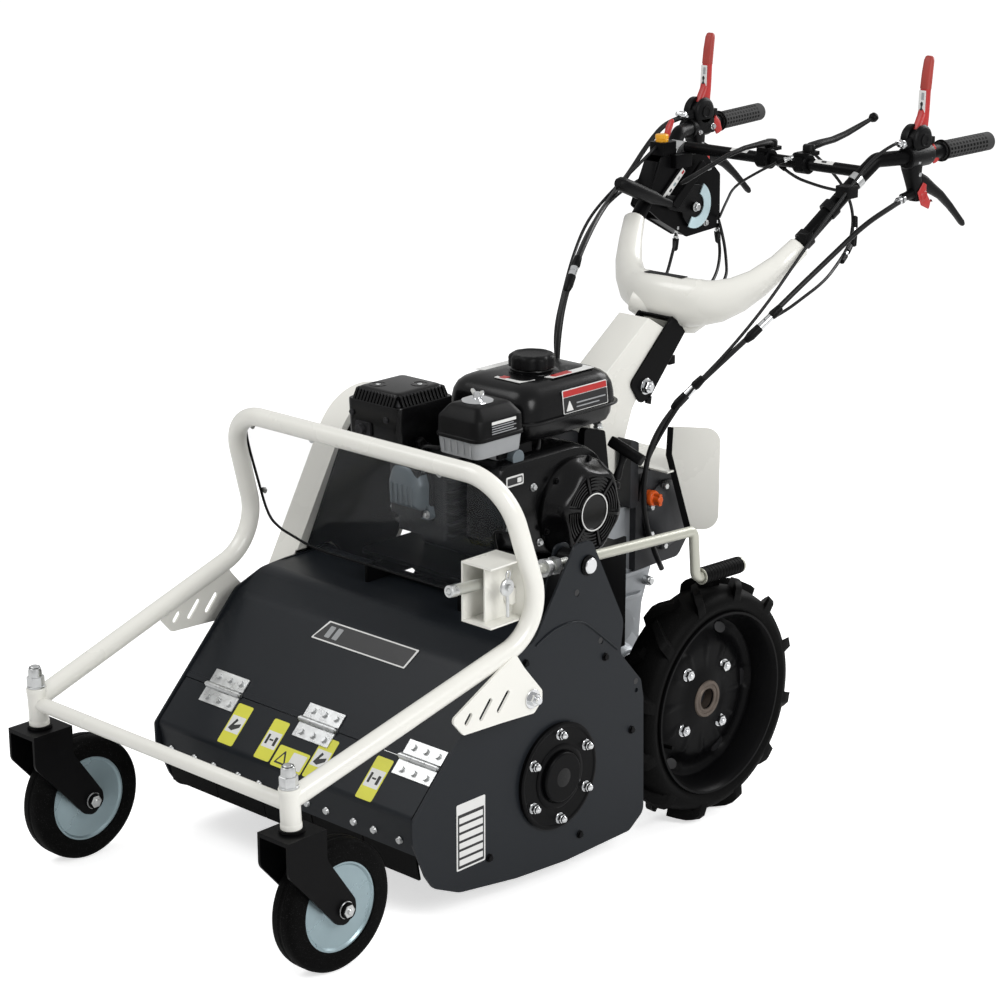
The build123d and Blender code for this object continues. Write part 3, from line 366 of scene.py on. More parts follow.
def turns(count):
    """Angles in equal steps, once round."""
    return [2 * pi * k / count for k in range(count)]


def around(centre, radius, angle, x):
    """A point at a radius and an angle about a crosswise axis; centre: (aft, up) of the axis."""
    return P(x, centre[0] + radius * cos(angle), centre[1] + radius * sin(angle))


def circle(centre, axis, radius, count=32):
    u = across(axis)
    v = axis.cross(u)
    return [centre + (u * cos(t) + v * sin(t)) * radius / 1000 for t in turns(count)]


def lathe(bm, centre, axis, profile, count=48, closed=False):
    """Turns a profile of (mm along the axis, radius mm)."""
    loft(bm, [circle(centre + axis * h / 1000, axis, r, count) for h, r in profile], closed)


def bar(bm, start, end, radius, count=24):
    """A round bar with softened ends."""
    axis = (end - start).normalized()
    length = (end - start).length * 1000
    edge = min(0.6, radius * 0.4, length * 0.3)
    profile = [(0, radius - edge), (edge, radius), (length - edge, radius), (length, radius - edge)]
    lathe(bm, start, axis, profile, count)


def hexagon(bm, centre, axis, flats, height, washer=0.0, dome=0.0):
    """A hex head, with a washer face under it or a dome on it, standing on centre."""
    lift = 0.0
    if washer:
        lathe(bm, centre, axis, [(0, washer), (1.6, washer), (2, washer - 0.4)], 32)
        lift = 2.0
    r = flats / 2 / cos(pi / 6)
    rings = [circle(centre + axis * h / 1000, axis, rr, 6) for h, rr in
             ((lift, r), (lift + height - 0.8, r), (lift + height, r * 0.88))]
    loft(bm, rings)
    if dome:
        lathe(bm, centre, axis, [(lift + height, dome), (lift + height + dome * 0.5, dome * 0.95),
                                 (lift + height + dome * 0.85, dome * 0.7),
                                 (lift + height + dome * 1.05, dome * 0.2)], 24)


def fillet(outline, radii, steps=5):
    """Rounds the corners of a closed outline of (u, v)."""
    if not isinstance(radii, (list, tuple)):
        radii = [radii] * len(outline)
    made = []
    count = len(outline)
    for k, radius in enumerate(radii):
        here = Vector(outline[k])
        before, after = Vector(outline[k - 1]) - here, Vector(outline[(k + 1) % count]) - here
        if radius <= 0:
            made.append(tuple(here))
            continue
        half = before.angle(after) / 2
        cut = min(radius / max(1e-6, abs(sin(half) / cos(half))), before.length * 0.49, after.length * 0.49)
        a, b = here + before.normalized() * cut, here + after.normalized() * cut
        for s in range(steps + 1):
            t = s / steps
            made.append(tuple((1 - t) ** 2 * a + 2 * t * (1 - t) * here + t * t * b))
    return made


def prism(bm, place, outline, depth):
    """place turns (u, v, w) mm into a point; the outline is pushed along w from 0 to depth."""
    loft(bm, [[place(u, v, 0) for u, v in outline], [place(u, v, depth) for u, v in outline]])


def slab(bm, x0, x1, stations, radii=0.0):
    """A plate from x0 to x1 with rounded corners; stations: (aft, up)."""
    outline = fillet(stations, radii)
    loft(bm, [[P(x, a, u) for a, u in outline] for x in (x0, x1)])


def rectangle(u0, u1, v0, v1):
    return [(u0, v0), (u1, v0), (u1, v1), (u0, v1)]


def block(bm, x0, x1, a0, a1, u0, u1, radius=0.0):
    """A box with rounded upright edges."""
    outline = fillet(rectangle(x0, x1, a0, a1), max(0.01, radius))
    loft(bm, [[P(x, a, up) for x, a in outline] for up in (u0, u1)])


def rounded_rings(x0, x1, a0, a1, levels, radius):
    """Rings of a rounded box; levels: (up, inset)."""
    rings = []
    for up, inset in levels:
        box = rectangle(x0 + inset, x1 - inset, a0 + inset, a1 - inset)
        rings.append([P(x, a, up) for x, a in fillet(box, max(2, radius - inset * 0.55), 7)])
    return rings


def sweep(bm, stations, ref, count=24, power=2.0):
    """A smooth bar through (x, aft, up, half along ref, half across) stations.

    A power of 2 gives round sections; more makes them squarer.
    """
    centres = [P(*s[:3]) for s in stations]
    rings = []
    for i, s in enumerate(stations):
        ahead = (centres[min(i + 1, len(centres) - 1)] - centres[max(i - 1, 0)]).normalized()
        a = (ref - ahead * ref.dot(ahead)).normalized()
        b = ahead.cross(a)
        ring = []
        for t in turns(count):
            c, d = cos(t), sin(t)
            grow = (abs(c) ** power + abs(d) ** power) ** (-1 / power)
            ring.append(centres[i] + (a * c * s[3] + b * d * s[4]) * grow / 1000)
        rings.append(ring)
    loft(bm, rings)


def smooth_curve(name, points, resolution):
    """A smooth curve along given points."""
    data = bpy.data.curves.new(name, "CURVE")
    data.dimensions, data.resolution_u = "3D", resolution
    line = data.splines.new("NURBS")
    line.points.add(len(points) - 1)
    for slot, p in zip(line.points, points):
        slot.co = (*p, 1)
    line.order_u = 3
    line.use_endpoint_u = True
    made = bpy.data.objects.new(name, data)
    bpy.context.collection.objects.link(made)
    return made


def wire(name, points, radius, body, material, replaces=()):
    """A round cable or bent rod along given points."""
    made = smooth_curve(name, points, 10)
    made.data.bevel_depth = radius / 1000
    made.data.bevel_resolution = 4
    made.data.use_fill_caps = True
    made.data.materials.append(M[material])
    if replaces:
        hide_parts(*replaces)
    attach(made, body)
    return made


# ---- floor ---------------------------------------------------------------------------------------
bm = bmesh.new()
bmesh.ops.create_grid(bm, x_segments=1, y_segments=1, size=55)
floor_mesh = bpy.data.meshes.new("floor")
bm.to_mesh(floor_mesh)
bm.free()
floor_mesh.materials.append(M["floor"])
floor = bpy.data.objects.new("floor", floor_mesh)
floor.location.z = -0.0005
bpy.context.collection.objects.link(floor)

# ---- drive wheels --------------------------------------------------------------------------------
WHEEL_OUT = 306.0
TYRE_WIDE = 84.0


def drive_wheel(hand, side_name):
    axis = LEFT * hand
    centre = P(0, *AXLE)
    body = f"drive_wheel_{side_name}"

    def at_wheel(x, radius, angle):
        return centre + axis * x / 1000 + (AFT * cos(angle) + UP * sin(angle)) * radius / 1000

    def from_outside(profile):
        return [(WHEEL_OUT + h, r) for h, r in profile]

    # carcass and lugs
    with piece(f"tyre_{side_name}", body, "tyre", [f"wheel_tyre_{side_name}"], bevel=1.3,
               smooth=40) as carcass:
        mid = WHEEL_OUT - TYRE_WIDE / 2
        half = TYRE_WIDE / 2
        section = [(-half + 7, 162), (-half + 3, 170), (-half - 0.6, 180), (-half + 2, 191),
                   (-half + 12, 199), (-half + 26, 203), (-8, 204.5), (8, 204.5), (half - 26, 203),
                   (half - 12, 199), (half - 2, 191), (half + 0.6, 180), (half - 3, 170), (half - 7, 162)]
        lathe(carcass, centre, axis, [(mid + h, r) for h, r in section], 120, closed=True)
        # lugs: alternate bars lean from the middle of the tread to the shoulder and run down the side wall
        count = 12
        for k in range(count):
            for row in (1, -1):
                base = 2 * pi * (k + (0.25 if row > 0 else 0.75)) / count
                rings = []
                stations = [(-3, 0.0, 219.7, 7.5), (10, 1.6, 219.7, 8.0), (24, 3.3, 219, 8.4),
                            (34, 4.6, 215, 9.0), (40.6, 5.2, 207, 9.2), (41.6, 5.6, 194, 8.6),
                            (41.6, 5.8, 184, 7.4)]
                for out, lean, top, wide in stations:
                    turn = base + radians(lean * 1.9)
                    low = 178 if out > 40 else 198
                    foot = wide * 1.5
                    ring = [at_wheel(mid + row * out, low, turn - foot / 205),
                            at_wheel(mid + row * out, top, turn - wide / 215),
                            at_wheel(mid + row * out, top, turn + wide / 215),
                            at_wheel(mid + row * out, low, turn + foot / 205)]
                    rings.append(ring)
                loft(carcass, rings)

    # rim: flanges, a deep well, pressed windows and a bolted centre
    with piece(f"rim_barrel_{side_name}", body, "black_metal", [f"wheel_rim_{side_name}"],
               smooth=50) as rim:
        lathe(rim, centre, axis, from_outside([(0.4, 161), (0.4, 165), (-3, 166), (-5, 162), (-10, 157.5),
                                               (-22, 154.5), (-38, 147), (-62, 147), (-76, 157), (-80, 166),
                                               (-84.4, 165), (-84.4, 161), (-77, 154), (-63, 144.4),
                                               (-38, 144.4), (-23, 152), (-9, 155), (-3, 159)]), 120,
              closed=True)
    disc = bmesh.new()
    rings = []
    steps = 168
    shape = [(18, -34), (24, -33), (36, -33.5), (50, -38), (72, -40), (92, -40), (100, -41.5), (108, -44),
             (118, -52), (130, -55), (140, -52), (145.5, -46)]
    windows = 6
    for r, h in shape:
        ring = []
        for t in turns(steps):
            dip = 0.0
            wave = cos(windows * t)
            if 108 < r < 142 and wave > 0.45:
                dip = -9 * (wave - 0.45) / 0.55
            if 74 < r < 101:
                notch = cos(12 * t + 0.6)
                dip += 3.2 * max(0.0, notch - 0.6) / 0.4
            ring.append(at_wheel(WHEEL_OUT + h + dip, r, t))
        rings.append(ring)
    loft(disc, rings, caps=False)
    made = finish_piece(f"rim_disc_{side_name}", disc, body, "black_metal", smooth=60)
    thick = made.modifiers.new("sheet", "SOLIDIFY")
    thick.thickness, thick.offset = 0.003, 0
    # flat black ovals in the pressed windows: painted shade standing in for the dark openings
    with piece(f"rim_windows_{side_name}", body, "ink_and_shade") as shade_ovals:
        for t in turns(windows):
            spot = at_wheel(WHEEL_OUT - 58.5, 129, t)
            radial = (AFT * cos(t) + UP * sin(t))
            ring_out = [spot + radial * 9.5 * cos(a) / 1000 + axis.cross(radial) * 17 * sin(a) / 1000
                        for a in turns(32)]
            ring_in = [p + axis * 0.0012 for p in ring_out]
            loft(shade_ovals, [[p - axis * 0.001 for p in ring_out], ring_in])
    with piece(f"hub_ring_{side_name}", body, "hub", smooth=30) as hub:
        lathe(hub, centre, axis, from_outside([(-60, 21), (-60, 34), (-31, 34), (-29, 32.5), (-29, 27.5),
                                               (-30.5, 26.5), (-30.5, 24), (-29.5, 23), (-29.5, 19.5),
                                               (-31, 18.5), (-58, 18.5)]), 64, closed=True)
    with piece(f"wheel_shaft_{side_name}", body, "iron") as shaft:
        bar(shaft, centre + axis * 0.02, centre + axis * (WHEEL_OUT - 50) / 1000, 16.9, 40)
        lathe(shaft, centre, axis, from_outside([(-108, 17), (-108, 30), (-62, 30), (-58, 44), (-52, 44),
                                                 (-52, 17)]), 48, closed=True)
    with piece(f"wheel_bolts_{side_name}", body, "chrome", smooth=25) as bolts:
        for k in range(4):
            t = radians(40 + 90 * k)
            hexagon(bolts, at_wheel(WHEEL_OUT - 40, 72, t), axis, 17, 8, washer=12)
            bar(bolts, at_wheel(WHEEL_OUT - 34, 72, t), at_wheel(WHEEL_OUT - 27, 72, t), 5)
    with piece(f"tyre_valve_{side_name}", body, "rubber") as valve:
        bar(valve, at_wheel(WHEEL_OUT - 36, 128, 3.6), at_wheel(WHEEL_OUT - 14, 126, 3.6), 3.5)


drive_wheel(1, "left")
drive_wheel(-1, "right")


# ---- castors -------------------------------------------------------------------------------------
STEM_LEAN = radians(2.3)
STEM = D(0, -sin(STEM_LEAN), cos(STEM_LEAN))


def stem_at(hand, along):
    return P(hand * CASTOR_X, 0, 300) + STEM * along / 1000


for hand, side_name in ((1, "left"), (-1, "right")):
    body = f"castor_wheel_{side_name}"
    axis = LEFT * hand
    centre = P(hand * CASTOR_X, *CASTOR_AXLE)
    with piece(f"castor_tyre_{side_name}", body, "castor_tyre", [f"castor_wheel_{side_name}"],
               smooth=40) as tyre:
        lathe(tyre, centre, axis, [(-23, 73), (-23, 95), (-21, 101), (-17, 104.5), (-11, 105.8), (-4, 106),
                                   (-3, 105.2), (3, 105.2), (4, 106), (11, 105.8), (17, 104.5), (21, 101),
                                   (23, 95), (23, 73), (20, 71.5), (-20, 71.5)], 96, closed=True)
    with piece(f"castor_disc_{side_name}", body, "disc", smooth=40) as disc:
        lathe(disc, centre, axis, [(-19, 8.5), (-19, 30), (-17.5, 34), (-17.5, 66), (-20.5, 69),
                                   (-20.5, 72.5), (20.5, 72.5), (20.5, 69), (17.5, 66), (17.5, 34),
                                   (19, 30), (27.5, 18), (27.5, 8.5), (-19, 8.4)], 80, closed=True)
    fork = f"castor_fork_{side_name}"
    with piece(f"castor_nuts_{side_name}", fork, "zinc", smooth=25) as nuts:
        for sense in (1, -1):
            place = P(hand * CASTOR_X + sense * 34, *CASTOR_AXLE)
            hexagon(nuts, place, LEFT * sense, 19, 7, washer=14)
            bar(nuts, place + LEFT * sense * 0.0085, place + LEFT * sense * 0.0125, 5)
        hexagon(nuts, stem_at(hand, 21.6), STEM, 25.4, 17, washer=15)
        lathe(nuts, stem_at(hand, 0), STEM, [(40, 11.6), (49, 11.2), (54, 10), (57.6, 6.4), (58.8, 1)], 32)
    with piece(f"castor_collar_{side_name}", fork, "black_metal") as collar:
        lathe(collar, stem_at(hand, -50), STEM, [(0, 10), (0, 20.5), (3, 20.5), (5, 18), (5, 10)], 48,
              closed=True)
    with piece(f"stem_rings_{side_name}", "front_frame", "white") as sleeve:
        for low in (-44, 12):
            lathe(sleeve, stem_at(hand, low), STEM, [(0, 10.2), (0, 16.8), (7, 16.8), (8.5, 16),
                                                     (8.5, 10.2)], 48, closed=True)


# ---- lips beside the hinge line, on the hood and on the flap -------------------------------------
SLOPE = radians(45.4)
SLOPE_UP = D(0, cos(SLOPE), sin(SLOPE))
SLOPE_OUT = D(0, -sin(SLOPE), cos(SLOPE))


def on_slope(x, along, above):
    """A point down the slope from the hinge pins; the sheet's outer face is at above = -3.6."""
    return P(x, *HINGE_PINS) - SLOPE_UP * along / 1000 + SLOPE_OUT * (above - 3.6) / 1000


for name, body, along0, along1, half in (("hood_lip", "mower", -10.5, -0.6, 311),
                                         ("flap_lip", "front_flap", 0.6, 9, 303.5)):
    with piece(name, body, "deck", bevel=0.4) as lip:
        loft(lip, [[on_slope(x, along, above) for along, above in ((along0, -0.2), (along1, -0.2),
                                                                   (along1, -2.6), (along0, -2.6))]
                   for x in (-half, half)])

# ---- stickers and plates -------------------------------------------------------------------------
def decal(name, corners, radius, place, body, material, lift=0.0, thick=0.25):
    """A thin patch with rounded corners; place turns (u, v, height) mm into a point."""
    outline = fillet(corners, radius, 4)
    with piece(name, body, material) as patch:
        loft(patch, [[place(u, v, height) for u, v in outline] for height in (lift + 0.05, lift + thick)])


stickers = [(-158, -121, 11, 86), (-66, -29, 14, 88), (52, 89, 14, 88), (176, 213, 12, 88)]
for k, (x0, x1, v0, v1) in enumerate(stickers):
    decal(f"sticker_{k}", rectangle(x0, x1, v0, v1), 4, on_slope, "front_flap", "yellow")
    decal(f"sticker_field_{k}", rectangle(x0 + 2.5, x1 - 2.5, v0 + 22, v1 - 22), 1, on_slope, "front_flap",
          "label", 0.2)
    cx, cv = (x0 + x1) / 2, (v0 + v1) / 2
    if k % 2 == 0:
        signs = [[(cx - 12, cv + 9), (cx - 3, cv - 11), (cx + 2, cv - 8), (cx - 4, cv + 2),
                  (cx + 12, cv - 4), (cx + 12, cv + 3), (cx - 2, cv + 12)]]
    else:
        signs = [rectangle(cx - 12, cx - 7, cv - 9, cv + 9), rectangle(cx + 6, cx + 12, cv - 7, cv + 9),
                 rectangle(cx - 5, cx + 4, cv - 1.5, cv + 1.5)]
    for j, sign in enumerate(signs):
        decal(f"sticker_sign_{k}_{j}", sign, 1.2, on_slope, "front_flap", "ink_and_shade", 0.4)
decal("sticker_wide", rectangle(-24, 48, 52, 90), 4, on_slope, "front_flap", "yellow", 0.05)
decal("sticker_wide_field", rectangle(12, 44, 57, 85), 2, on_slope, "front_flap", "label", 0.3)
decal("sticker_wide_sign", [(-19, 84), (8, 84), (-5.5, 58)], 2, on_slope, "front_flap", "ink_and_shade", 0.3)
decal("sticker_wide_inner", [(-14, 81), (3, 81), (-5.5, 65)], 1, on_slope, "front_flap", "yellow", 0.5)

decal("badge_border", [(-72, -176), (140, -176), (130, -138), (-92, -138)], 2, on_slope, "mower", "label")
decal("badge_face", [(-68.5, -173.5), (135, -173.5), (127, -140.5), (-88, -140.5)], 1.5, on_slope, "mower",
      "ink_and_shade", 0.2)
for k, x in enumerate((-62, -44)):
    decal(f"badge_mark_{k}", [(x, -168), (x + 12, -168), (x + 8, -146), (x - 4, -146)], 2, on_slope,
          "mower", "grey", 0.45)


def on_left_side(aft, up, out):
    return P(PLATE_X + out, aft, up)


decal("type_plate", rectangle(345, 411, 70, 184), 3, on_left_side, "mower", "label")
decal("type_plate_face", rectangle(348, 408, 73, 166), 1.5, on_left_side, "mower", "ink_and_shade", 0.2)
for k in range(6):
    decal(f"type_plate_row_{k}", rectangle(351, 405, 78 + 14.5 * k, 88 + 14.5 * k), 0.8, on_left_side,
          "mower", "label", 0.4)

# ---- deck fittings -------------------------------------------------------------------------------
with piece("ear_plate", "mower", "deck", ["deck_fasteners"], bevel=0.5) as bm:
    slab(bm, 252, 256, [(598, 407.6), (690, 407.6), (671, 536), (637, 536)], [2, 2, 16, 16])
SPINDLE_SLOPE = -0.0644
SPINDLE = D(0, 1, SPINDLE_SLOPE)


def spindle_at(aft):
    return P(281, aft, 530 + SPINDLE_SLOPE * (aft - 366))


with piece("trunnion_block", "mower", "black_metal", bevel=0.5) as bm:
    bar(bm, P(244, *TRUNNION), P(260, *TRUNNION), 11)
    bar(bm, P(302, *TRUNNION), P(316, *TRUNNION), 11)
    lathe(bm, P(0, *TRUNNION), LEFT, [(257, 10), (257, 19), (304, 19), (304, 10)], 40)
    hexagon(bm, P(252, *TRUNNION), -LEFT, 17, 6, washer=13)
with piece("zinc_fasteners", "mower", "chrome", smooth=25) as bm:
    lathe(bm, P(0, *TRUNNION), LEFT, [(315.5, 13), (315.5, 13.4), (320, 13.4), (321.5, 12), (321.5, 0.5)],
          40)
    for hand in (-1, 1):
        spot = P(hand * PLATE_X, 479, 338)
        out = LEFT * hand
        lathe(bm, spot, out, [(0, 15), (34.4, 15), (34.4, 9.9), (40, 9.9)], 36)
        hexagon(bm, spot + out * 0.0395, out, 19, 8.5, washer=16)
        bar(bm, spot + out * 0.049, spot + out * 0.056, 6)
    for k in range(6):
        turn = radians(30 + 60 * k)
        hexagon(bm, around(ROTOR, 74, turn, 319), LEFT, 14, 7, washer=9.5, dome=6.2)
with piece("bearing_rings", "mower", "black_metal", smooth=40) as bm:
    lathe(bm, P(0, *TRUNNION), LEFT, [(312.2, 12), (312.2, 17), (315.4, 17), (315.4, 12)], 40)
    lathe(bm, P(0, *ROTOR), LEFT, [(319, 92), (320.2, 90.5), (320.2, 86), (319.2, 84)], 72, closed=True)
    lathe(bm, P(0, *ROTOR), LEFT, [(320, 56), (321.4, 54), (321.4, 46), (320, 44)], 64, closed=True)
with piece("bearing_cap", "mower", "gloss_black", smooth=30) as bm:
    lathe(bm, P(0, *ROTOR), LEFT, [(326, 19.5), (328.6, 18.5), (329.4, 14), (329.4, 1)], 40)
with piece("side_plate_bolts", "mower", "black_metal", smooth=25) as bm:
    for hand in (-1, 1):
        for aft, up in ((505, 381), (700, 340), (770, 190), (420, 70), (640, 40)):
            hexagon(bm, P(hand * PLATE_X, aft, up), LEFT * hand, 10, 3.4, washer=7)

# the black sheet behind the white belt guard
with piece("guard_backing", "mower", "black_metal", bevel=0.4) as bm:
    slab(bm, -310.5, -307.5, [(604, 414), (690, 585), (742, 652), (820, 668), (892, 632), (905, 560),
                              (838, 402), (790, 330), (742, 346), (664, 414)],
         [4, 30, 40, 40, 40, 40, 10, 10, 10, 6])

# ---- adjuster bracket fittings -------------------------------------------------------------------
with piece("nut_disc", "front_frame", "zinc", smooth=30) as bm:
    lathe(bm, P(0, *BRACKET_NUT), LEFT, [(326, 14.5), (329.5, 14.5), (331, 12.5), (331, 1)], 40)
    bar(bm, P(328.6, 445, 516), P(328.6, 446, 479), 2.8, 16)
    hexagon(bm, P(331, *BRACKET_NUT), LEFT, 10, 4)
wire("nut_ring", [P(329, 445, 540), P(331, 438, 549), P(331, 445, 558), P(330, 452, 549), P(329, 446, 541)],
     1.5, "front_frame", "zinc")
with piece("spindle_collars", "height_crank", "zinc", smooth=30) as bm:
    lathe(bm, spindle_at(362), SPINDLE, [(0, 4), (2, 5), (0, 6), (0, 9.4), (1, 10), (16, 10), (17, 9)], 32)
    lathe(bm, spindle_at(580), SPINDLE, [(0, 9.4), (0, 15), (9, 15), (9, 12), (16, 12), (16, 9.4)], 32)
    hexagon(bm, spindle_at(600), SPINDLE, 26, 14)
with piece("spindle_thread", "height_crank", "steel", smooth=30) as bm:
    profile = []
    for k in range(66):
        profile += [(4.2 * k, 9.35), (4.2 * k + 1.4, 9.35), (4.2 * k + 2.1, 8.2), (4.2 * k + 3.3, 8.2)]
    lathe(bm, spindle_at(368), SPINDLE, profile, 20)
grip_start, grip_end = P(281, 987, 403.5), P(281, 1096, 399.3)
grip_axis = (grip_end - grip_start).normalized()
with piece("crank_grip", "height_crank", "rubber", smooth=30) as bm:
    profile = [(0, 10), (0, 13), (2, 15)]
    for k in range(12):
        profile += [(6 + 8 * k, 15.2), (11 + 8 * k, 15.2), (12 + 8 * k, 14.6), (13.4 + 8 * k, 14.6)]
    profile += [(103, 15.2), (107, 14), (109.5, 11), (110, 5)]
    lathe(bm, grip_start, grip_axis, profile, 32)

# ---- windshield trim -----------------------------------------------------------------------------
SHIELD_UP = D(0, -75, 249.4)
SHIELD_OUT = (-LEFT).cross(SHIELD_UP)


def on_shield(x, rise, out):
    return P(0, 521, 448.6) + LEFT * x / 1000 + SHIELD_UP * rise / 1000 + SHIELD_OUT * (16 + out) / 1000


trim = [(322, 50), (322, 120), (322, 190), (312, 226), (280, 238), (160, 238), (0, 238), (-160, 238),
        (-280, 238), (-312, 226), (-322, 190), (-322, 110), (-322, 40), (-300, 18), (-262, 8), (-222, -4),
        (-110, -4), (0, -4), (110, -4), (222, -4), (242, 6), (248, 30), (248, 90), (248, 140), (262, 148),
        (300, 148), (318, 120), (322, 60)]
wire("shield_trim", [on_shield(x, rise, 1.5) for x, rise in trim], 2.4, "front_frame", "plastic")
with piece("shield_screws", "front_frame", "zinc", smooth=25) as bm:
    for x, rise in ((-300, 222), (300, 222), (-150, 226), (150, 226), (-316, 90), (316, 175)):
        hexagon(bm, on_shield(x, rise, 3), SHIELD_OUT, 8, 3, washer=6)

# ---- fuel tank -----------------------------------------------------------------------------------
with piece("tank_shell", "mower", "gloss_black", ["fuel_tank"], smooth=38) as bm:
    loft(bm, rounded_rings(-74, 129, 704, 958, [(660, 40), (662, 24), (667, 13), (678, 8), (696, 6)], 46))
    loft(bm, rounded_rings(-78, 132, 701, 961, [(695.5, 1), (696.5, 0), (699.5, 0), (700.5, 1)], 50))
    loft(bm, rounded_rings(-74, 129, 704, 958, [(700, 3), (716, 4), (732, 7), (744, 13), (751, 21),
                                                (756, 32), (759.5, 47), (762, 70)], 46))
    lathe(bm, P(*TANK_NECK, 0), UP, [(757, 48), (761, 46), (764, 37), (766, 36), (766, 26)], 56)
with piece("tank_cap", "fuel_cap", "plastic", ["fuel_cap"], smooth=35) as bm:
    rings = []
    for h, r, lobe in ((767, 36, 2), (768, 40.4, 3.2), (783, 41, 3.4), (787, 39.4, 2.6), (790, 35, 1),
                       (790.6, 28, 0), (789.4, 25, 0), (789, 22, 0), (789, 1, 0)):
        ring = []
        for t in turns(96):
            rr = r - lobe * (0.5 + 0.5 * cos(9 * t)) ** 2
            ring.append(P(TANK_NECK[0] + rr * cos(t), TANK_NECK[1] + rr * sin(t), h))
        rings.append(ring)
    loft(bm, rings)
    bar(bm, P(*TANK_NECK, 750), P(*TANK_NECK, 768), 23, 40)


def on_tank_side(aft, up, out):
    return P(126 - max(0, up - 716) * 0.19 + out, aft, up)


decal("tank_label", rectangle(800, 914, 701.5, 742), 3, on_tank_side, "mower", "label", 0.6, 0.9)
decal("tank_label_face", rectangle(802, 912, 703, 729), 2, on_tank_side, "mower", "ink_and_shade", 0.95, 1.1)
decal("tank_label_strip", rectangle(802, 912, 730.5, 740.5), 1, on_tank_side, "mower", "red", 0.95, 1.1)
decal("tank_label_sign", [(806, 706), (824, 706), (815, 724)], 1, on_tank_side, "mower", "label", 1.15, 1.3)
decal("tank_label_lines", rectangle(832, 906, 716, 718), 0.4, on_tank_side, "mower", "grey", 1.15, 1.3)
decal("tank_label_lines_low", rectangle(832, 890, 709, 711), 0.4, on_tank_side, "mower", "grey", 1.15, 1.3)


def on_tank_top(u, v, out):
    return P(u, v, 758.6 + out)


for name, outline in (("front", [(20, 742), (78, 742), (84, 776), (14, 776)]),
                      ("left", [(80, 800), (97, 806), (97, 912), (72, 912)]),
                      ("right", [(-44, 760), (-20, 770), (-20, 880), (-44, 880)])):
    decal("tank_top_" + name, outline, 2, on_tank_top, "mower", "label", 0.2, 0.8)
decal("tank_top_mark", [(84, 812), (94, 815), (94, 858), (80, 858)], 1, on_tank_top, "mower", "red", 0.85,
      1.0)
decal("tank_front_mark", [(28, 746), (40, 746), (42, 760), (27, 760)], 1, on_tank_top, "mower", "red", 0.85,
      1.0)

# ---- air filter ----------------------------------------------------------------------------------
with piece("filter_cover", "mower", "plastic", ["air_filter_cover"], smooth=38) as bm:
    loft(bm, rounded_rings(42, 145, 570, 690, [(698, 2), (698, 0), (703, 0), (704.5, 1.5), (730, 2.5),
                                               (733, 4), (749, 17), (751.5, 21), (753, 36)], 20))
with piece("filter_base", "mower", "grey", ["air_filter_base"], bevel=0.5, smooth=38) as bm:
    loft(bm, rounded_rings(45, 142, 573, 687, [(668, 6), (669, 3), (682, 1.5), (697.5, 0)], 18))
    for s in range(5):
        slab(bm, 64 + 15 * s, 66.4 + 15 * s, [(572, 674), (574, 674), (574, 694), (572, 694)])
    block(bm, 62, 124, 640, 687, 653, 669, 8)
with piece("filter_nut", "air_filter_nut", "chrome", ["air_filter_nut"], smooth=30) as bm:
    lathe(bm, P(*FILTER_STUD, 0), UP, [(751.5, 26), (753.5, 27), (754.5, 26.6), (758.5, 16), (759, 7),
                                       (766, 6), (767.5, 4), (767.5, 0.5)], 56)
    for sense in (-1, 1):
        slab_points = fillet([(3, 759), (7, 759), (14.5, 767), (13, 772), (9, 771), (3, 766)],
                             [0, 2, 2, 3, 2, 0])
        loft(bm, [[P(FILTER_STUD[0] + sense * u, 626.6, v) for u, v in slab_points],
                  [P(FILTER_STUD[0] + sense * u, 629.4, v) for u, v in slab_points]])


def on_filter_side(aft, up, out):
    return P(143.9 - (up - 704) * 0.04 + out, aft, up)


decal("filter_label", rectangle(606, 664, 724, 729), 1, on_filter_side, "mower", "label", 0.1, 0.5)
for k in range(4):
    decal(f"filter_label_row_{k}", rectangle(606, 664 - 6 * (k % 2), 708 + 4 * k, 709.6 + 4 * k), 0.4,
          on_filter_side, "mower", "grey", 0.1, 0.4)

# ---- muffler and its guard -----------------------------------------------------------------------
GUARD_RIGHT, GUARD_LEFT, GUARD_FRONT, GUARD_BACK = -150, -30, 562, 692
with piece("muffler_guard", "mower", "gloss_black", ["muffler"], bevel=0.4, smooth=32) as bm:
    loft(bm, rounded_rings(GUARD_RIGHT, GUARD_LEFT, GUARD_FRONT, GUARD_BACK,
                           [(646, 1), (647, 0), (727, -3), (729, -2)], 14))
    loft(bm, rounded_rings(GUARD_RIGHT, GUARD_LEFT, GUARD_FRONT, GUARD_BACK,
                           [(743, 8), (747.4, 11), (749.4, 15), (750, 20)], 18))
    bars = 13
    for k in range(bars):
        x = GUARD_RIGHT + 14 + (GUARD_LEFT - GUARD_RIGHT - 28) * k / (bars - 1)
        for a, s in ((GUARD_FRONT, 1), (GUARD_BACK, -1)):
            slab(bm, x - 2.3, x + 2.3, [(a - s * 2, 727), (a + s * 3, 727), (a + s * 13, 743),
                                        (a + s * 12, 747.5), (a + s * 7, 745)], 0.8)
        a = GUARD_FRONT + 15 + (GUARD_BACK - GUARD_FRONT - 30) * k / (bars - 1)
        for x_edge, s in ((GUARD_RIGHT, 1), (GUARD_LEFT, -1)):
            outline = [(x_edge - s * 2, 727), (x_edge + s * 3, 727), (x_edge + s * 13, 743),
                       (x_edge + s * 12, 747.5), (x_edge + s * 7, 745)]
            loft(bm, [[P(x, a - 2.3, u) for x, u in outline], [P(x, a + 2.3, u) for x, u in outline]])
    for x, a in ((-116, 600), (-66, 650)):
        lathe(bm, P(x, a, 0), UP, [(749, 16.4), (750.8, 15.8), (750.8, 13), (748.6, 11), (748.4, 1)], 36)
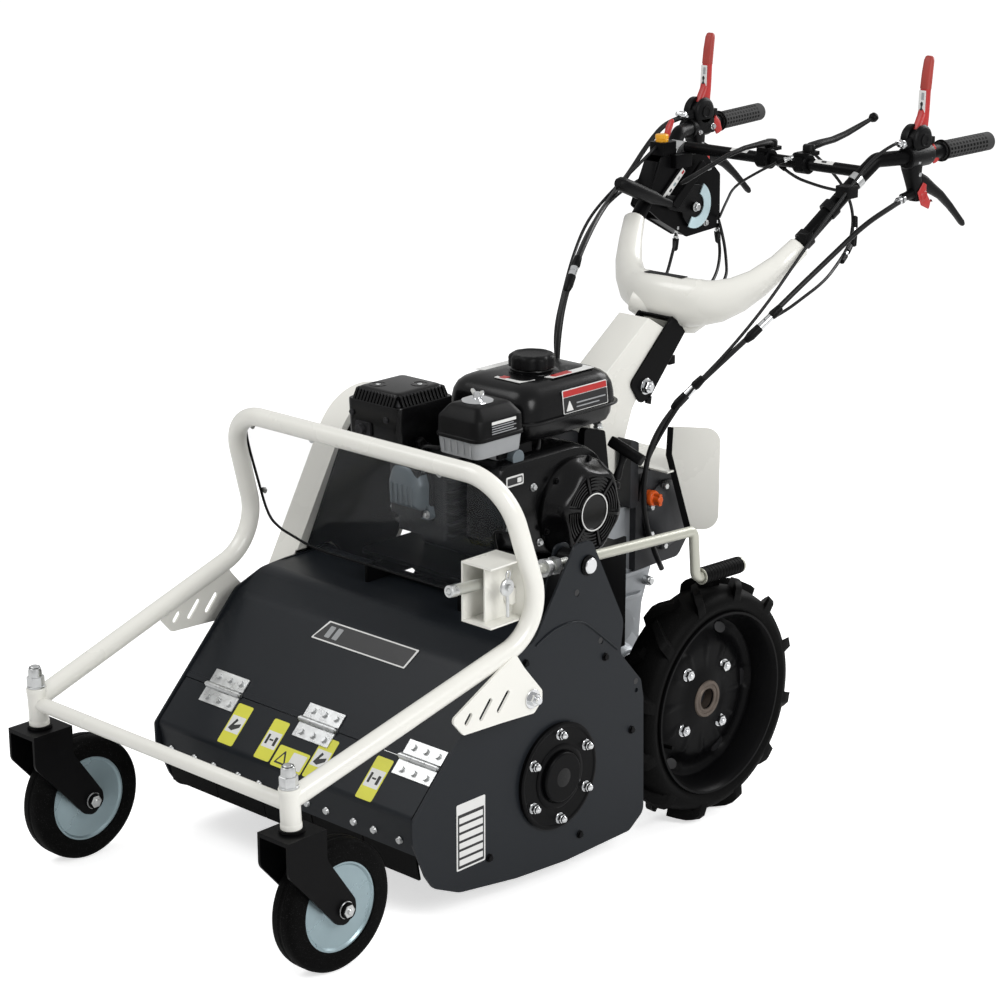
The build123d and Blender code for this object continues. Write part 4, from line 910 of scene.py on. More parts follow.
with piece("muffler_core", "mower", "rotor", smooth=32) as bm:
    loft(bm, rounded_rings(GUARD_RIGHT, GUARD_LEFT, GUARD_FRONT, GUARD_BACK,
                           [(650, 5), (727, 5), (739, 12), (741, 16)], 12))


def on_muffler_front(x, up, out):
    return P(x, GUARD_FRONT - out, up)


# a flat black patch on the muffler front: painted shade standing in for the exhaust opening
decal("muffler_mouth", rectangle(-132, -62, 664, 700), 6, on_muffler_front, "mower", "ink_and_shade", 0.2, 0.6)
with piece("muffler_fittings", "mower", "rotor", smooth=28) as bm:
    loft(bm, [[on_muffler_front(u, v, d) for u, v in fillet(rectangle(-128, -92, 670, 694), 6)]
              for d in (0.6, 6)])
    for x, up in ((-138, 706), (-56, 706), (-56, 660), (-138, 660)):
        hexagon(bm, on_muffler_front(x, up, 0), -AFT, 9, 4, washer=7)
    bar(bm, P(-112, 564, 682), P(-112, 548, 680), 9)
with piece("muffler_screws", "mower", "zinc", smooth=25) as bm:
    for x, a in ((-116, 600), (-66, 650)):
        hexagon(bm, P(x, a, 748.4), UP, 8, 2.4)
wire("exhaust_pipe", [P(-60, 640, 610), P(-74, 642, 618), P(-88, 642, 632), P(-90, 640, 652)], 13, "mower",
     "rotor")

# ---- fan shroud and starter ----------------------------------------------------------------------
with piece("shroud_shell", "mower", "gloss_black", ["fan_shroud"], smooth=32) as bm:
    rings = []
    for x, grow in ((80, 0), (128, 0), (140, -2), (146, -6), (149, -13)):
        outline = []
        for s in range(41):
            t = radians(-118 + 208 * s / 40)
            outline.append((CRANKSHAFT[0] + (100 + grow) * cos(t), CRANKSHAFT[1] + (100 + grow) * sin(t)))
        outline += [(700, 652 + grow), (640, 652 + grow), (612 - grow + 8, 648 + grow),
                    (612 - grow, 636 + grow), (612 - grow, 520 - grow), (622 - grow, 505 - grow),
                    (700, 480 - grow)]
        rings.append([P(x, a, u) for a, u in outline])
    loft(bm, rings)


def on_shroud(aft, up, out):
    return P(STARTER_X + out, aft, up)


decal("switch_plate", rectangle(634, 676, 612, 630), 3, on_shroud, "mower", "label", 0.1, 0.5)
decal("switch_plate_face", rectangle(637, 673, 615, 627), 2, on_shroud, "mower", "ink_and_shade", 0.5, 0.7)
decal("switch_mark", rectangle(660, 670, 617, 625), 2, on_shroud, "mower", "label", 0.75, 0.9)
with piece("shroud_bolts", "mower", "zinc", smooth=25) as bm:
    for aft, up in ((640, 540), (700, 600), (716, 500)):
        hexagon(bm, on_shroud(aft, up, 0), LEFT, 9, 4, washer=7)

with piece("starter_cover", "mower", "gloss_black", ["recoil_cover"], smooth=30) as bm:
    rings = []
    for h, r, hexed in ((0, 90, 0), (6, 91, 1.5), (12, 89, 3), (16, 85, 4), (28, 80, 4.5), (38, 75, 4),
                        (43, 70, 3), (44.5, 66, 2.4), (44.5, 64, 2), (41, 62, 0), (41, 37, 0),
                        (45, 35.4, 0), (46.4, 34.4, 0), (46.4, 30, 0), (45.4, 29, 0), (45.4, 1, 0)):
        ring = []
        for t in turns(144):
            rr = r + hexed * (cos(6 * (t + 0.26)) - 0.4)
            ring.append(around(STARTER, rr, t, STARTER_X + h))
        rings.append(ring)
    loft(bm, rings)
with piece("starter_ribs", "mower", "gloss_black", smooth=35) as bm:
    for r in (41.5, 47.5, 53, 58.5):
        for k in range(6):
            a0, a1 = radians(60 * k - 15 + 7), radians(60 * k + 45 - 7)
            rings = []
            for s in range(13):
                t = a0 + (a1 - a0) * s / 12
                rings.append([around(STARTER, rr, t, STARTER_X + h) for h, rr in
                              ((40.5, r - 1.5), (44.4, r - 1.3), (44.4, r + 1.3), (40.5, r + 1.5))])
            loft(bm, rings)
    for k in range(6):
        t = radians(60 * k - 15)
        u = AFT * cos(t) + UP * sin(t)
        v = -AFT * sin(t) + UP * cos(t)
        base = P(STARTER_X, *STARTER)
        rings = []
        for r, h, w in ((34, 45.6, 3.4), (60, 45.6, 3.4), (68, 45, 4.4), (78, 38, 5.5), (85, 20, 6.5),
                        (88, 12, 7)):
            rings.append([base + u * r / 1000 + v * q * w / 1000 + LEFT * hh / 1000 for q, hh in
                          ((-1, h - 4), (-0.7, h), (0.7, h), (1, h - 4))])
        loft(bm, rings)
with piece("starter_ring", "mower", "label") as bm:
    lathe(bm, P(STARTER_X, *STARTER), LEFT, [(46.2, 31), (46.8, 31), (46.8, 33.2), (46.2, 33.2)], 64,
          closed=True)
with piece("starter_bolts", "mower", "black_metal", smooth=25) as bm:
    for k in range(6):
        t = radians(60 * k + 15)
        hexagon(bm, around(STARTER, 86, t, STARTER_X + 11), LEFT, 8, 3.4, washer=6)
PULL = D(0, 0.42, 0.9)
with piece("starter_handle", "recoil_handle", "plastic", ["recoil_handle"], smooth=35) as bm:
    start = P(168, 891, 575)
    bar(bm, start, start + PULL * 0.042, 2.6, 16)
    lathe(bm, start, PULL, [(2, 3), (2, 7), (8, 7.5), (26, 5.5), (34, 6), (48, 9), (54, 9), (54, 2)], 28)
    a, b = P(137, 912, 635), P(208, 912, 613)
    axis = (b - a).normalized()
    v = axis.cross(PULL).normalized()
    w = v.cross(axis)
    rings = []
    for t, grow in ((0, 7.4), (1.2, 9.4), (5, 10), (22, 9.8), (37, 10.2), (52, 9.8), (69, 10), (73, 9.4),
                    (74.2, 7.4)):
        ring = []
        for angle in turns(28):
            square = (abs(cos(angle)) ** 6 + abs(sin(angle)) ** 6) ** (-1 / 6)
            spoke = v * cos(angle) * 0.78 + w * sin(angle)
            ring.append(a + axis * t / 1000 + spoke * grow * square / 1000)
        rings.append(ring)
    loft(bm, rings)
with piece("rope_guide", "mower", "plastic") as bm:
    lathe(bm, P(168, 886, 568), PULL, [(-4, 4), (-4, 11), (4, 10), (7, 7.4), (7, 4)], 32, closed=True)

# ---- cylinder, valve cover, carburettor and wiring -----------------------------------------------
with piece("valve_cover", "mower", "cast_grey", smooth=38, bevel=0.6) as bm:
    outline = fillet([(-60, 556), (12, 556), (14, 600), (2, 636), (-50, 636), (-62, 600)],
                     [8, 8, 20, 22, 22, 20])
    loft(bm, [[P(x, a, u) for x, u in outline] for a in (597, 574)]
         + [[P(-24 + (x + 24) * 0.9, 567, 596 + (u - 596) * 0.9) for x, u in outline]]
         + [[P(-24 + (x + 24) * 0.7, 562, 596 + (u - 596) * 0.7) for x, u in outline]])
    for k in range(5):
        x = -48 + 12 * k
        loft(bm, [[P(xx, a, u) for xx, u in rectangle(x - 2, x + 2, 566, 600)] for a in (568, 560.6)])
    outline = fillet([(-72, 540), (24, 540), (18, 566), (-66, 566)], 8)
    loft(bm, [[P(x, a, u) for x, u in outline] for a in (598, 584)])
with piece("engine_bolts", "mower", "zinc", smooth=25) as bm:
    for x, u in ((-62, 550), (14, 550), (-24, 548), (-54, 628), (6, 628)):
        hexagon(bm, P(x, 584, u), -AFT, 9, 5, washer=7)
    for x, a, u in ((92, 930, 655), (-60, 930, 655), (110, 700, 655)):
        hexagon(bm, P(x, a, u - 8), UP, 12, 6, washer=9)
    hexagon(bm, P(80, 938, 655), AFT, 12, 6, washer=10)
with piece("carburettor", "mower", "cast_grey", bevel=0.8) as bm:
    bar(bm, P(52, 672, 655), P(142, 672, 655), 14)
    block(bm, 66, 118, 636, 700, 610, 650, 8)
    bar(bm, P(92, 668, 612), P(92, 668, 592), 18)
    hexagon(bm, P(92, 668, 592), -UP, 12, 8, washer=12)
with piece("governor_plate", "mower", "black_metal", bevel=0.5) as bm:
    block(bm, 40, 90, 700, 790, 648, 655, 2)
    bar(bm, P(60, 730, 655), P(60, 730, 668), 5)
    bar(bm, P(118, 660, 655), P(118, 700, 655), 3)
    block(bm, 120, 128, 640, 720, 655, 672, 2)
wire("governor_rod", [P(70, 790, 660), P(74, 760, 664), P(82, 720, 662), P(96, 690, 640)], 1.4, "mower",
     "zinc")
wire("governor_spring", [P(50, 780, 664), P(58, 750, 668), P(72, 716, 664)], 2.6, "mower", "zinc")
wire("fuel_hose", [P(104, 760, 668), P(118, 752, 655), P(122, 724, 640), P(112, 702, 626), P(98, 690, 618)],
     4, "mower", "cable")
wire("plug_lead", [P(-14, 606, 652), P(-4, 588, 664), P(20, 592, 668), P(48, 618, 660), P(74, 640, 640)],
     3.6, "mower", "cable")
with piece("plug_cap", "mower", "plastic", smooth=35) as bm:
    lathe(bm, P(-16, 612, 648), D(0, -0.5, 0.85), [(0, 6), (0, 9), (10, 10), (20, 9), (28, 7), (30, 3)], 28)
with piece("crank_cover", "mower", "iron", bevel=0.6) as bm:
    lathe(bm, P(-105, *CRANKSHAFT), -LEFT, [(0, 60), (0, 74), (6, 74), (8, 70), (8, 36), (5, 30), (5, 20)],
          64)
    for k in range(6):
        t = radians(60 * k + 20)
        hexagon(bm, around(CRANKSHAFT, 66, t, -112), -LEFT, 10, 5)
    block(bm, -60, 30, 925, 950, 480, 560, 6)
with piece("rear_bracket", "mower", "black_metal", bevel=0.8) as bm:
    slab(bm, 82, 96, [(880, 500), (948, 500), (956, 560), (944, 640), (890, 655)], 10)

# ---- gearbox -------------------------------------------------------------------------------------
with piece("casting_cover", "mower", "iron", bevel=0.8, smooth=38) as bm:
    lathe(bm, P(0, *GEARBOX_BOSS), LEFT, [(70, 20), (70, 62), (76, 64), (80, 60), (86, 54), (93, 40),
                                          (96, 20), (96, 2)], 56)
    for t in turns(7):
        lathe(bm, around(GEARBOX_BOSS, 58, t, 0), LEFT, [(70, 9), (81, 9), (83, 7), (83, 1)], 20)
    slab(bm, 40, 74, [(1040, 470), (1062, 470), (1062, 590), (1040, 600)], 6)
with piece("casting_bolts", "mower", "zinc", smooth=25) as bm:
    for t in turns(7):
        hexagon(bm, around(GEARBOX_BOSS, 58, t, 83), LEFT, 10, 5)
    bar(bm, P(58, 1104, 318), P(72, 1104, 318), 9)
    hexagon(bm, P(70, 1104, 318), LEFT, 12, 5)
with piece("gearbox_ribs", "mower", "alloy", bevel=1.2, smooth=38) as bm:
    for up, depth, reach in ((346, 8, 8), (300, 7, 6), (252, 7, 6)):
        block(bm, -58 - reach, 58 + reach, 952 + (346 - up) * 0.05, 1120 - (346 - up) * 0.4, up - depth, up,
              26)
    rings = []
    for up, grow in ((346, 4), (330, 0), (262, -2), (240, 3)):
        rings.append([P(x, a, up) for x, a in fillet([(-56 - grow, 968), (56 + grow, 968),
                                                      (50 + grow, 1108 - (346 - up) * 0.36),
                                                      (-50 - grow, 1108 - (346 - up) * 0.36)], 34, 6)])
    loft(bm, rings)
    lathe(bm, P(0, *AXLE), LEFT, [(-98, 18), (-98, 40), (-92, 46), (-66, 52), (-60, 76), (60, 76), (66, 52),
                                  (92, 46), (98, 40), (98, 18)], 56)
with piece("dipstick_wings", "gearbox_dipstick", "orange", smooth=35, bevel=0.6) as bm:
    lathe(bm, P(0, *DIPSTICK), LEFT, [(80, 8), (80, 14.6), (85, 15), (88.5, 13), (89, 8), (101, 7),
                                      (103, 5), (103, 1)], 32)
    slab(bm, 90, 102, [(1088, 470), (1096, 470), (1096, 492), (1088, 492)], 3)

for hand, side_name in ((1, "left"), (-1, "right")):
    run = D(hand * 76, 52, 0)
    out = run.cross(UP)
    foot = P(hand * 100, 1114, 424)

    def on_wing(u, v, w):
        return foot + run * u / 1000 + UP * v / 1000 + out * (w - 3) / 1000

    with piece(f"guard_strip_{side_name}", "mower", "black_metal", bevel=0.5) as strip:
        prism(strip, on_wing, fillet([(-3, 189), (8, 189), (6, 140), (43, 1), (31, 1), (-5, 137)], 2), 6)

# raised arch of the left side plate, and its holes as flat black discs of painted shade
wire("side_arch", [P(313, 530, 404), P(313, 560, 419), P(313, 600, 424), P(313, 638, 419), P(313, 664, 402),
                   P(313, 730, 346)], 1.6, "mower", "deck")
for k, (aft, up) in enumerate(((628, 470), (688, 372), (780, 275))):
    with piece(f"side_hole_{k}", "mower", "ink_and_shade") as bm:
        lathe(bm, P(0, aft, up), LEFT, [(311.8, 5.4), (312.3, 5.4), (312.3, 1)], 28)

# ---- handlebar: yoke, column and clamp -----------------------------------------------------------
arm = [(195, 1358, 920, 17, 17), (194, 1356, 918, 20, 20), (176, 1325, 886, 22, 22),
       (152, 1292, 855, 27, 25), (126, 1267, 834, 33, 28), (98, 1248, 821, 38.5, 31.5),
       (72, 1239, 816, 41.5, 33)]
body = [(86, 1244, 818, 36, 30), (72, 1239, 816, 41.5, 33), (48, 1234, 813, 44, 34),
        (24, 1231, 812, 45.5, 34), (0, 1230, 812, 46, 34)]
mirrored = [(-x, a, u, p, q) for x, a, u, p, q in reversed(body[:-1])]
with piece("yoke_shell", "handlebar", "white", ["handlebar_yoke"], smooth=45) as bm:
    sweep(bm, arm, UP, 36)
    sweep(bm, [(-x, a, u, p, q) for x, a, u, p, q in arm], UP, 36)
    sweep(bm, body + mirrored, UP, 40, 2.5)
    sweep(bm, [(-72, 1213, 804, 22, 22), (-46, 1222, 797, 29, 27), (-20, 1230, 791, 34, 30),
               (12, 1238, 787, 36, 30), (44, 1244, 787, 33, 27), (60, 1248, 793, 24, 20)], UP, 32)


def on_yoke_top(u, v, out):
    return P(u, v, 857.4 - 0.0005 * u * u + out)


decal("yoke_label", rectangle(-56, 34, 1222, 1240), 2, on_yoke_top, "handlebar", "ink_and_shade", 0.6, 1.0)
with piece("column_shell", "mower", "white", ["handlebar_column"], bevel=7, smooth=50) as bm:
    slab(bm, -35, 35, [(1130, 800), (1187, 767), (1088, 640), (1058, 560), (1058, 470), (950, 470),
                       (955, 560), (985, 670), (1020, 722)], [3, 3, 30, 20, 2, 2, 20, 30, 30])
with piece("clamp_channel", "handlebar", "black_metal", ["column_clamp"], bevel=0.9, smooth=40) as bm:
    for hand in (-1, 1):
        slab(bm, *sorted((hand * 35.6, hand * 40.6)), [(1076, 688), (1104, 646), (1132, 655), (1232, 764),
                                                       (1190, 794)], [14, 14, 8, 3, 3])
        slab(bm, *sorted((hand * 35.6, hand * 40.6)), [(1120, 645), (1134, 640), (1136, 655), (1126, 660)],
             [3, 2, 2, 2])
    slab(bm, -38, 38, [(1190, 793), (1232, 763), (1230, 760), (1188, 790)])
    slab(bm, -38, 38, [(1232, 764), (1228, 764), (1140, 668), (1143, 665)])
    block(bm, 8, 30, 1196, 1214, 700, 716, 3)
with piece("clamp_bolt", "handlebar", "chrome", smooth=28) as bm:
    for hand in (-1, 1):
        hexagon(bm, P(hand * 40.6, *TILT_BOLT), LEFT * hand, 21, 9, washer=15)
        bar(bm, P(hand * 49, *TILT_BOLT), P(hand * 55, *TILT_BOLT), 6.5)
    bar(bm, P(-50, *TILT_BOLT), P(50, *TILT_BOLT), 7.5)

# ---- handlebar: grips and control perches --------------------------------------------------------
def tube_end(hand):
    """The straight end of a handlebar tube, from the perch outwards."""
    return P(hand * 258, 1600, 1058), P(hand * 272, 1820, 1062)


for hand, side_name in ((1, "left"), (-1, "right")):
    start, end = tube_end(hand)
    run = (end - start).normalized()
    length = (end - start).length * 1000
    grip_from, grip_to = 0.41 * length, 1.015 * length
    across_u = across(run)
    across_v = run.cross(across_u)
    with piece(f"grip_{side_name}", "handlebar", "rubber") as bm:
        rings = []
        cells = 12
        span = grip_to - grip_from
        profile = [(0, 14, 0), (0, 20.5, 0), (3, 20.5, 0), (4.5, 17.2, 0)]
        for cell in range(cells):
            base = 8 + (span - 18) * cell / cells
            wide = (span - 18) / cells
            profile += [(base, 15.9, 0), (base + 1.4, 17.6, 1), (base + wide - 2.8, 17.6, 1),
                        (base + wide - 1.4, 15.9, 0)]
        profile += [(span - 8, 17.4, 0), (span - 3, 17, 0), (span - 0.6, 13, 0), (span, 8, 0)]
        for h, r, patterned in profile:
            ring = []
            for k in range(70):
                groove = 1.6 if patterned and k % 5 == 0 else 0
                t = 2 * pi * k / 70
                spoke = across_u * cos(t) + across_v * sin(t)
                ring.append(start + run * (grip_from + h) / 1000 + spoke * (r - groove) / 1000)
            rings.append(ring)
        loft(bm, rings)

bm_perch, bm_zinc, bm_lock = bmesh.new(), bmesh.new(), bmesh.new()
for hand in (-1, 1):
    x = hand * PERCH_X
    start, end = tube_end(hand)
    run = (end - start).normalized()
    # the clamp round the tube, the clutch housing above it and the leg down to the brake pivot
    lathe(bm_perch, start, run, [(-14, 15), (-14, 19), (-12, 21), (46, 21), (52, 19), (52, 15)], 36)
    lathe(bm_perch, P(x - 19, 1620, 1088), LEFT, [(0, 12), (0, 24), (3, 27), (15, 28), (17, 26), (17, 12)],
          40)
    lathe(bm_perch, P(x + 19, 1620, 1088), -LEFT, [(0, 12), (0, 21), (2, 26), (5, 28), (8, 27), (8, 12)],
          40)
    lathe(bm_perch, P(x, 1619, 1086), LEFT, [(-8, 14), (-8, 22), (14, 22), (14, 14)], 36)
    block(bm_perch, x - 19, x + 19, 1596, 1650, 1046, 1074, 8)
    sweep(bm_perch, [(x, 1578, 1079, 6, 6), (x, 1590, 1081, 9, 9), (x, 1604, 1083, 14, 13),
                     (x, 1612, 1084, 15, 14)], UP, 20)
    sweep(bm_perch, [(x, 1607, 1050, 19, 19), (x, 1610, 1036, 17, 18), (x, 1614, 1018, 14, 15),
                     (x, 1620, 1000, 12, 14), (x, 1622, 984, 10, 13), (x, 1622, 974, 7, 10)], AFT, 24, 3.0)
    sweep(bm_perch, [(x, 1580, 987, 5.5, 5.5), (x, 1596, 986, 8, 8), (x, 1612, 988, 10, 10)], UP, 18)
    block(bm_perch, x - 13, x + 13, 1648, 1664, 1046, 1090, 4)
    # the barrel adjusters, screws and cable ends
    for tail_a, tail_u, head_a, head_u in ((1550, 1091, 1582, 1082), (1554, 978.5, 1586, 982.5)):
        tail, head = P(x + hand * 3, tail_a, tail_u), P(x + hand, head_a, head_u)
        lead = (tail - head).normalized()
        lathe(bm_zinc, head, lead, [(0, 4), (1, 7.6), (6, 7.8), (7, 4.8), (12, 4.6), (13, 7.2), (18, 7.4),
                                    (19.5, 5.2), (27, 4.6), (28, 1)], 20)
    hexagon(bm_zinc, P(x + 19, 1640, 1058), LEFT, 9, 4, washer=6)
    hexagon(bm_zinc, P(x + 17, 1604, 1050), LEFT, 7, 3, washer=5)
    hexagon(bm_zinc, P(x + 14, 1612, 1026), LEFT, 8, 5)
    hexagon(bm_zinc, P(x, 1606, 1046), -UP, 9, 4, washer=6)
    lathe(bm_perch, P(x + 19, 1620, 1088), LEFT, [(0, 12), (2, 11.4), (2, 9.2), (0.6, 8), (0.6, 1)], 32)
    sweep(bm_lock, [(x + 15, 1632, 1006, 6, 2.6), (x + 15, 1624, 992, 14, 3), (x + 15, 1632, 976, 13, 3),
                    (x + 15, 1648, 966, 9, 2.6), (x + 15, 1656, 972, 4, 2)], AFT, 20)
    lathe(bm_lock, P(x + 13, 1628, 984), LEFT, [(0, 10), (4.5, 10), (6, 8.6), (6, 5), (5, 4.4), (5, 1)], 28)
    sweep(bm_lock, [(x + 13, 1650, 1073, 8, 4), (x + 13, 1660, 1060, 11, 5), (x + 13, 1668, 1044, 9, 4)],
          AFT, 18)
finish_piece("perch_housings", bm_perch, "handlebar", "plastic", ["lever_perches"], bevel=0.4, smooth=40)
finish_piece("perch_adjusters", bm_zinc, "handlebar", "chrome", smooth=28)
finish_piece("perch_locks", bm_lock, "handlebar", "red", smooth=40)

for hand, side_name in ((1, "left"), (-1, "right")):
    x = hand * PERCH_X
    lever = f"clutch_lever_{side_name}"
    with piece(f"clutch_blade_{side_name}", lever, "red", [lever], smooth=40) as bm:
        sweep(bm, [(x, 1624, 1084, 13, 9), (x, 1628, 1100, 17, 10), (x, 1634, 1114, 14, 10),
                   (x, 1639, 1130, 10, 9.5), (x, 1642, 1150, 8, 9), (x, 1643, 1176, 7, 9.5),
                   (x, 1646, 1206, 6, 9.5)], AFT, 28, 3.2)
        lathe(bm, P(x, 1622, 1090), LEFT, [(-10.5, 9), (-10.5, 15), (10.5, 15), (10.5, 9)], 32)
    with piece(f"clutch_tip_{side_name}", lever, "dipped_red", smooth=40) as bm:
        sweep(bm, [(x, 1643, 1178, 7.6, 10.2), (x, 1646, 1205, 7.2, 10.2), (x, 1650, 1229, 6.4, 9.6),
                   (x, 1652, 1235, 5.4, 8), (x, 1652.5, 1237.4, 3, 5)], AFT, 28, 3.2)

    def on_lever(u, v, out):
        return P(x + u, 1641.6 + (v - 1150) * 0.04 - 8.6 - out, v)

    decal(f"lever_label_{side_name}", rectangle(-7.5, 7.5, 1136, 1176), 1.5, on_lever, lever, "label", 0.1,
          0.7)
    decal(f"lever_mark_{side_name}", [(-3, 1140), (3, 1140), (1, 1146), (3, 1152), (0, 1156), (-3, 1152),
                                      (-1, 1146)], 0.5, on_lever, lever, "ink_and_shade", 0.75, 0.9)
    decal(f"lever_lines_{side_name}", rectangle(-1, 4, 1159, 1172), 0.5, on_lever, lever, "grey", 0.75, 0.9)
    brake = f"brake_lever_{side_name}"
    with piece(f"brake_blade_{side_name}", brake, "plastic", [brake], smooth=40) as bm:
        sweep(bm, [(x, 1624, 1006, 15, 7), (x, 1636, 1008, 17, 8), (x, 1652, 1002, 15, 8),
                   (x, 1676, 990, 11, 8), (x, 1706, 974, 8.5, 7.6), (x, 1738, 950, 6.6, 7),
                   (x, 1764, 928, 5.6, 6.4), (x, 1782, 912, 5.6, 6.4), (x, 1787, 907, 4, 4.6)], UP, 24, 2.6)
        lathe(bm, P(x, 1640, 984), LEFT, [(-7, 6), (-7, 13), (7, 13), (7, 6)], 28)
        sweep(bm, [(x, 1640, 984, 10, 7), (x, 1646, 996, 14, 7.4), (x, 1654, 1002, 10, 7)], AFT, 20)

# ---- crossbar levers -----------------------------------------------------------------------------
LEVER_HUB = [(0, 5), (0, 12), (9, 12), (12, 10), (12.4, 4), (12.4, 1)]
bm, bm_zinc = bmesh.new(), bmesh.new()
for x in (0, 88):
    lathe(bm, P(x, *CROSSBAR), LEFT, [(-15, 12), (-15, 17), (-13, 18.6), (13, 18.6), (15, 17), (15, 12)],
          32)
    block(bm, x - 13, x + 13, 1490, 1538, 1052, 1059, 4)
    block(bm, x - 9, x + 9, 1486, 1496, 1026, 1052, 3)
    lathe(bm, P(x, 1520, 1059), UP, [(0, 7), (0, 13), (0.4, 13), (0.4, 7)], 24)
for tail, head in ((P(52, 1470, 1040), P(74, 1496, 1050)), (P(30, 1512, 1026), P(10, 1512, 1036))):
    lead = (tail - head).normalized()
    lathe(bm, head, lead, [(-8, 5), (-8, 8), (0, 8), (3, 6), (3, 4)], 20)
    lathe(bm_zinc, head, lead, [(2, 4), (3, 5), (8, 5.2), (9, 3.6), (16, 3.4), (17, 5), (21, 5), (22, 3),
                                (26, 3)], 20)
    bar(bm, head + lead * 0.022, head + lead * 0.034, 4.6, 18)
for x in (0, 88):
    hexagon(bm_zinc, P(x + 6, 1490, 1040), -AFT, 6, 3)
finish_piece("crossbar_clamps", bm, "handlebar", "black_metal", bevel=0.6, smooth=38)
finish_piece("crossbar_fittings", bm_zinc, "handlebar", "zinc", smooth=28)
with piece("gear_blade", "gear_lever", "plastic", ["gear_lever"], smooth=40) as bm:
    lathe(bm, P(88, *LEVER_PIVOT), UP, LEVER_HUB, 28)
    sweep(bm, [(88, 1512, 1066, 4, 8), (88, 1530, 1068, 7, 13), (89, 1556, 1071, 6.5, 11.5),
               (91, 1590, 1073, 6, 9.5), (92, 1630, 1080, 5.4, 8), (93, 1670, 1090, 4.8, 6.4),
               (94, 1700, 1098, 4, 5), (94, 1714, 1101, 4, 4.6)], UP, 20)
    lathe(bm, P(94, 1712, 1101), D(0.02, 0.93, 0.36), [(-8, 3), (-6, 7), (-1, 9.2), (5, 8.6), (9, 5),
                                                       (10, 1)], 24)
with piece("throttle_blade", "throttle_lever", "plastic", ["throttle_lever"], smooth=40) as bm:
    lathe(bm, P(0, *LEVER_PIVOT), UP, LEVER_HUB, 28)
    sweep(bm, [(0, 1528, 1066, 4, 8), (0, 1506, 1067, 6, 12), (0, 1480, 1066.5, 5, 9),
               (0, 1440, 1065, 4.5, 6.4), (0, 1390, 1057, 4.2, 6), (0, 1340, 1044, 4, 5.6),
               (0, 1290, 1031, 4, 5), (0, 1268, 1025, 4.4, 5.4), (0, 1256, 1022, 2.4, 3)], UP, 20)


def on_crossbar(u, v, out):
    turn = radians(v)
    return P(u, 1505 - (11 + out) * cos(turn), 1038 + (11 + out) * sin(turn))


for name, x0, x1 in (("left", 118, 160), ("right", -78, -38)):
    decal("crossbar_label_" + name, rectangle(x0, x1, 34, 78), 1, on_crossbar, "handlebar", "label", 0.3,
          0.6)
    decal("crossbar_mark_" + name, rectangle(x0 + 16, x0 + 26, 48, 66), 1, on_crossbar, "handlebar", "ink_and_shade",
          0.6, 0.8)

# ---- console, paddle and stop switch -------------------------------------------------------------
CONSOLE_LEFT_X, CONSOLE_GAP_X, CONSOLE_RIGHT_X = (-190, -186), (-222, -190), (-226, -222)
CONSOLE = [(1380, 938), (1426, 1030), (1556, 1020), (1604, 975), (1606, 870), (1504, 864), (1428, 904)]
with piece("console_box", "handlebar", "black_metal", ["control_console"], bevel=0.8, smooth=38) as bm:
    slab(bm, *CONSOLE_LEFT_X, CONSOLE, [6, 10, 8, 8, 10, 8, 6])
    slab(bm, *CONSOLE_RIGHT_X, CONSOLE, [6, 10, 8, 8, 10, 8, 6])
    slab(bm, *CONSOLE_GAP_X, [(1430, 906), (1504, 866), (1606, 872), (1602, 890), (1508, 884), (1436, 924)],
         3)
    slab(bm, *CONSOLE_GAP_X, [(1382, 940), (1392, 936), (1428, 1016), (1418, 1020)], 2)
    block(bm, -190, -172, 1452, 1500, 1004, 1030, 3)
    slab(bm, -186, -182, [(1414, 952), (1486, 1012), (1498, 1000), (1430, 938)], 3)
    slab(bm, -176, -170, [(1440, 938), (1530, 1012), (1542, 1000), (1458, 926)], [4, 4, 4, 4])
    bar(bm, P(-176, 1510, 924), P(-170, 1510, 924), 9)
    block(bm, -214, -196, 1586, 1612, 884, 908, 4)
    block(bm, -220, -184, 1426, 1468, 1030, 1055, 6)


def on_console(aft, up, out):
    return P(-182 + out, aft, up)


decal("console_label", [(1424, 954), (1482, 1002), (1490, 994), (1432, 944)], 1, on_console, "handlebar",
      "label", 0.3, 0.7)
for k in range(5):
    a, u = 1432 + 12 * k, 954.4 + 10.2 * k
    decal(f"console_mark_{k}", [(a - 2, u - 3), (a + 4, u + 2), (a + 7, u - 1), (a + 1, u - 6)], 0.5,
          on_console, "handlebar", ("ink_and_shade", "ink_and_shade", "disc", "grey", "red")[k], 0.72, 0.85)
with piece("quadrant_film", "shift_paddle", "film") as bm:
    arcs = ((45, range(-120, 66, 10)), (24, range(60, -121, -12)))
    outline = [(PADDLE_PIVOT[0] + r * cos(radians(t)), PADDLE_PIVOT[1] + r * sin(radians(t)))
               for r, angles in arcs for t in angles]
    slab(bm, -178.6, -176.6, outline)
with piece("paddle_grip", "shift_paddle", "plastic", ["shift_paddle"], bevel=0.4, smooth=42) as bm:
    lathe(bm, P(-179, *PADDLE_PIVOT), -LEFT, [(0, 8), (0, 40), (4, 40), (4, 8)], 48)
    slab(bm, -179, -174, [(1480, 916), (1436, 928), (1420, 944), (1430, 956), (1484, 946)], [3, 8, 8, 8, 3])
    sweep(bm, [(-174, 1440, 938, 7, 4.4), (-174, 1412, 948, 9, 4.8), (-177, 1390, 957, 13, 10.5),
               (-178, 1350, 973, 14, 14), (-179, 1312, 989, 14, 14), (-180, 1298, 995, 13, 13),
               (-180, 1290, 998, 8, 8)], UP, 28, 2.4)
with piece("console_bolts", "handlebar", "zinc", bevel=0.3, smooth=28) as bm:
    hexagon(bm, P(-170, 1510, 924), LEFT, 13, 6, washer=9)
    for a, u in ((1488, 1012), (1566, 992), (1560, 884)):
        hexagon(bm, P(-186, a, u), LEFT, 9, 4, washer=6.5)
    slab(bm, *CONSOLE_GAP_X, [(1466, 1024), (1500, 1030), (1512, 1046), (1498, 1050), (1478, 1040)], 2)
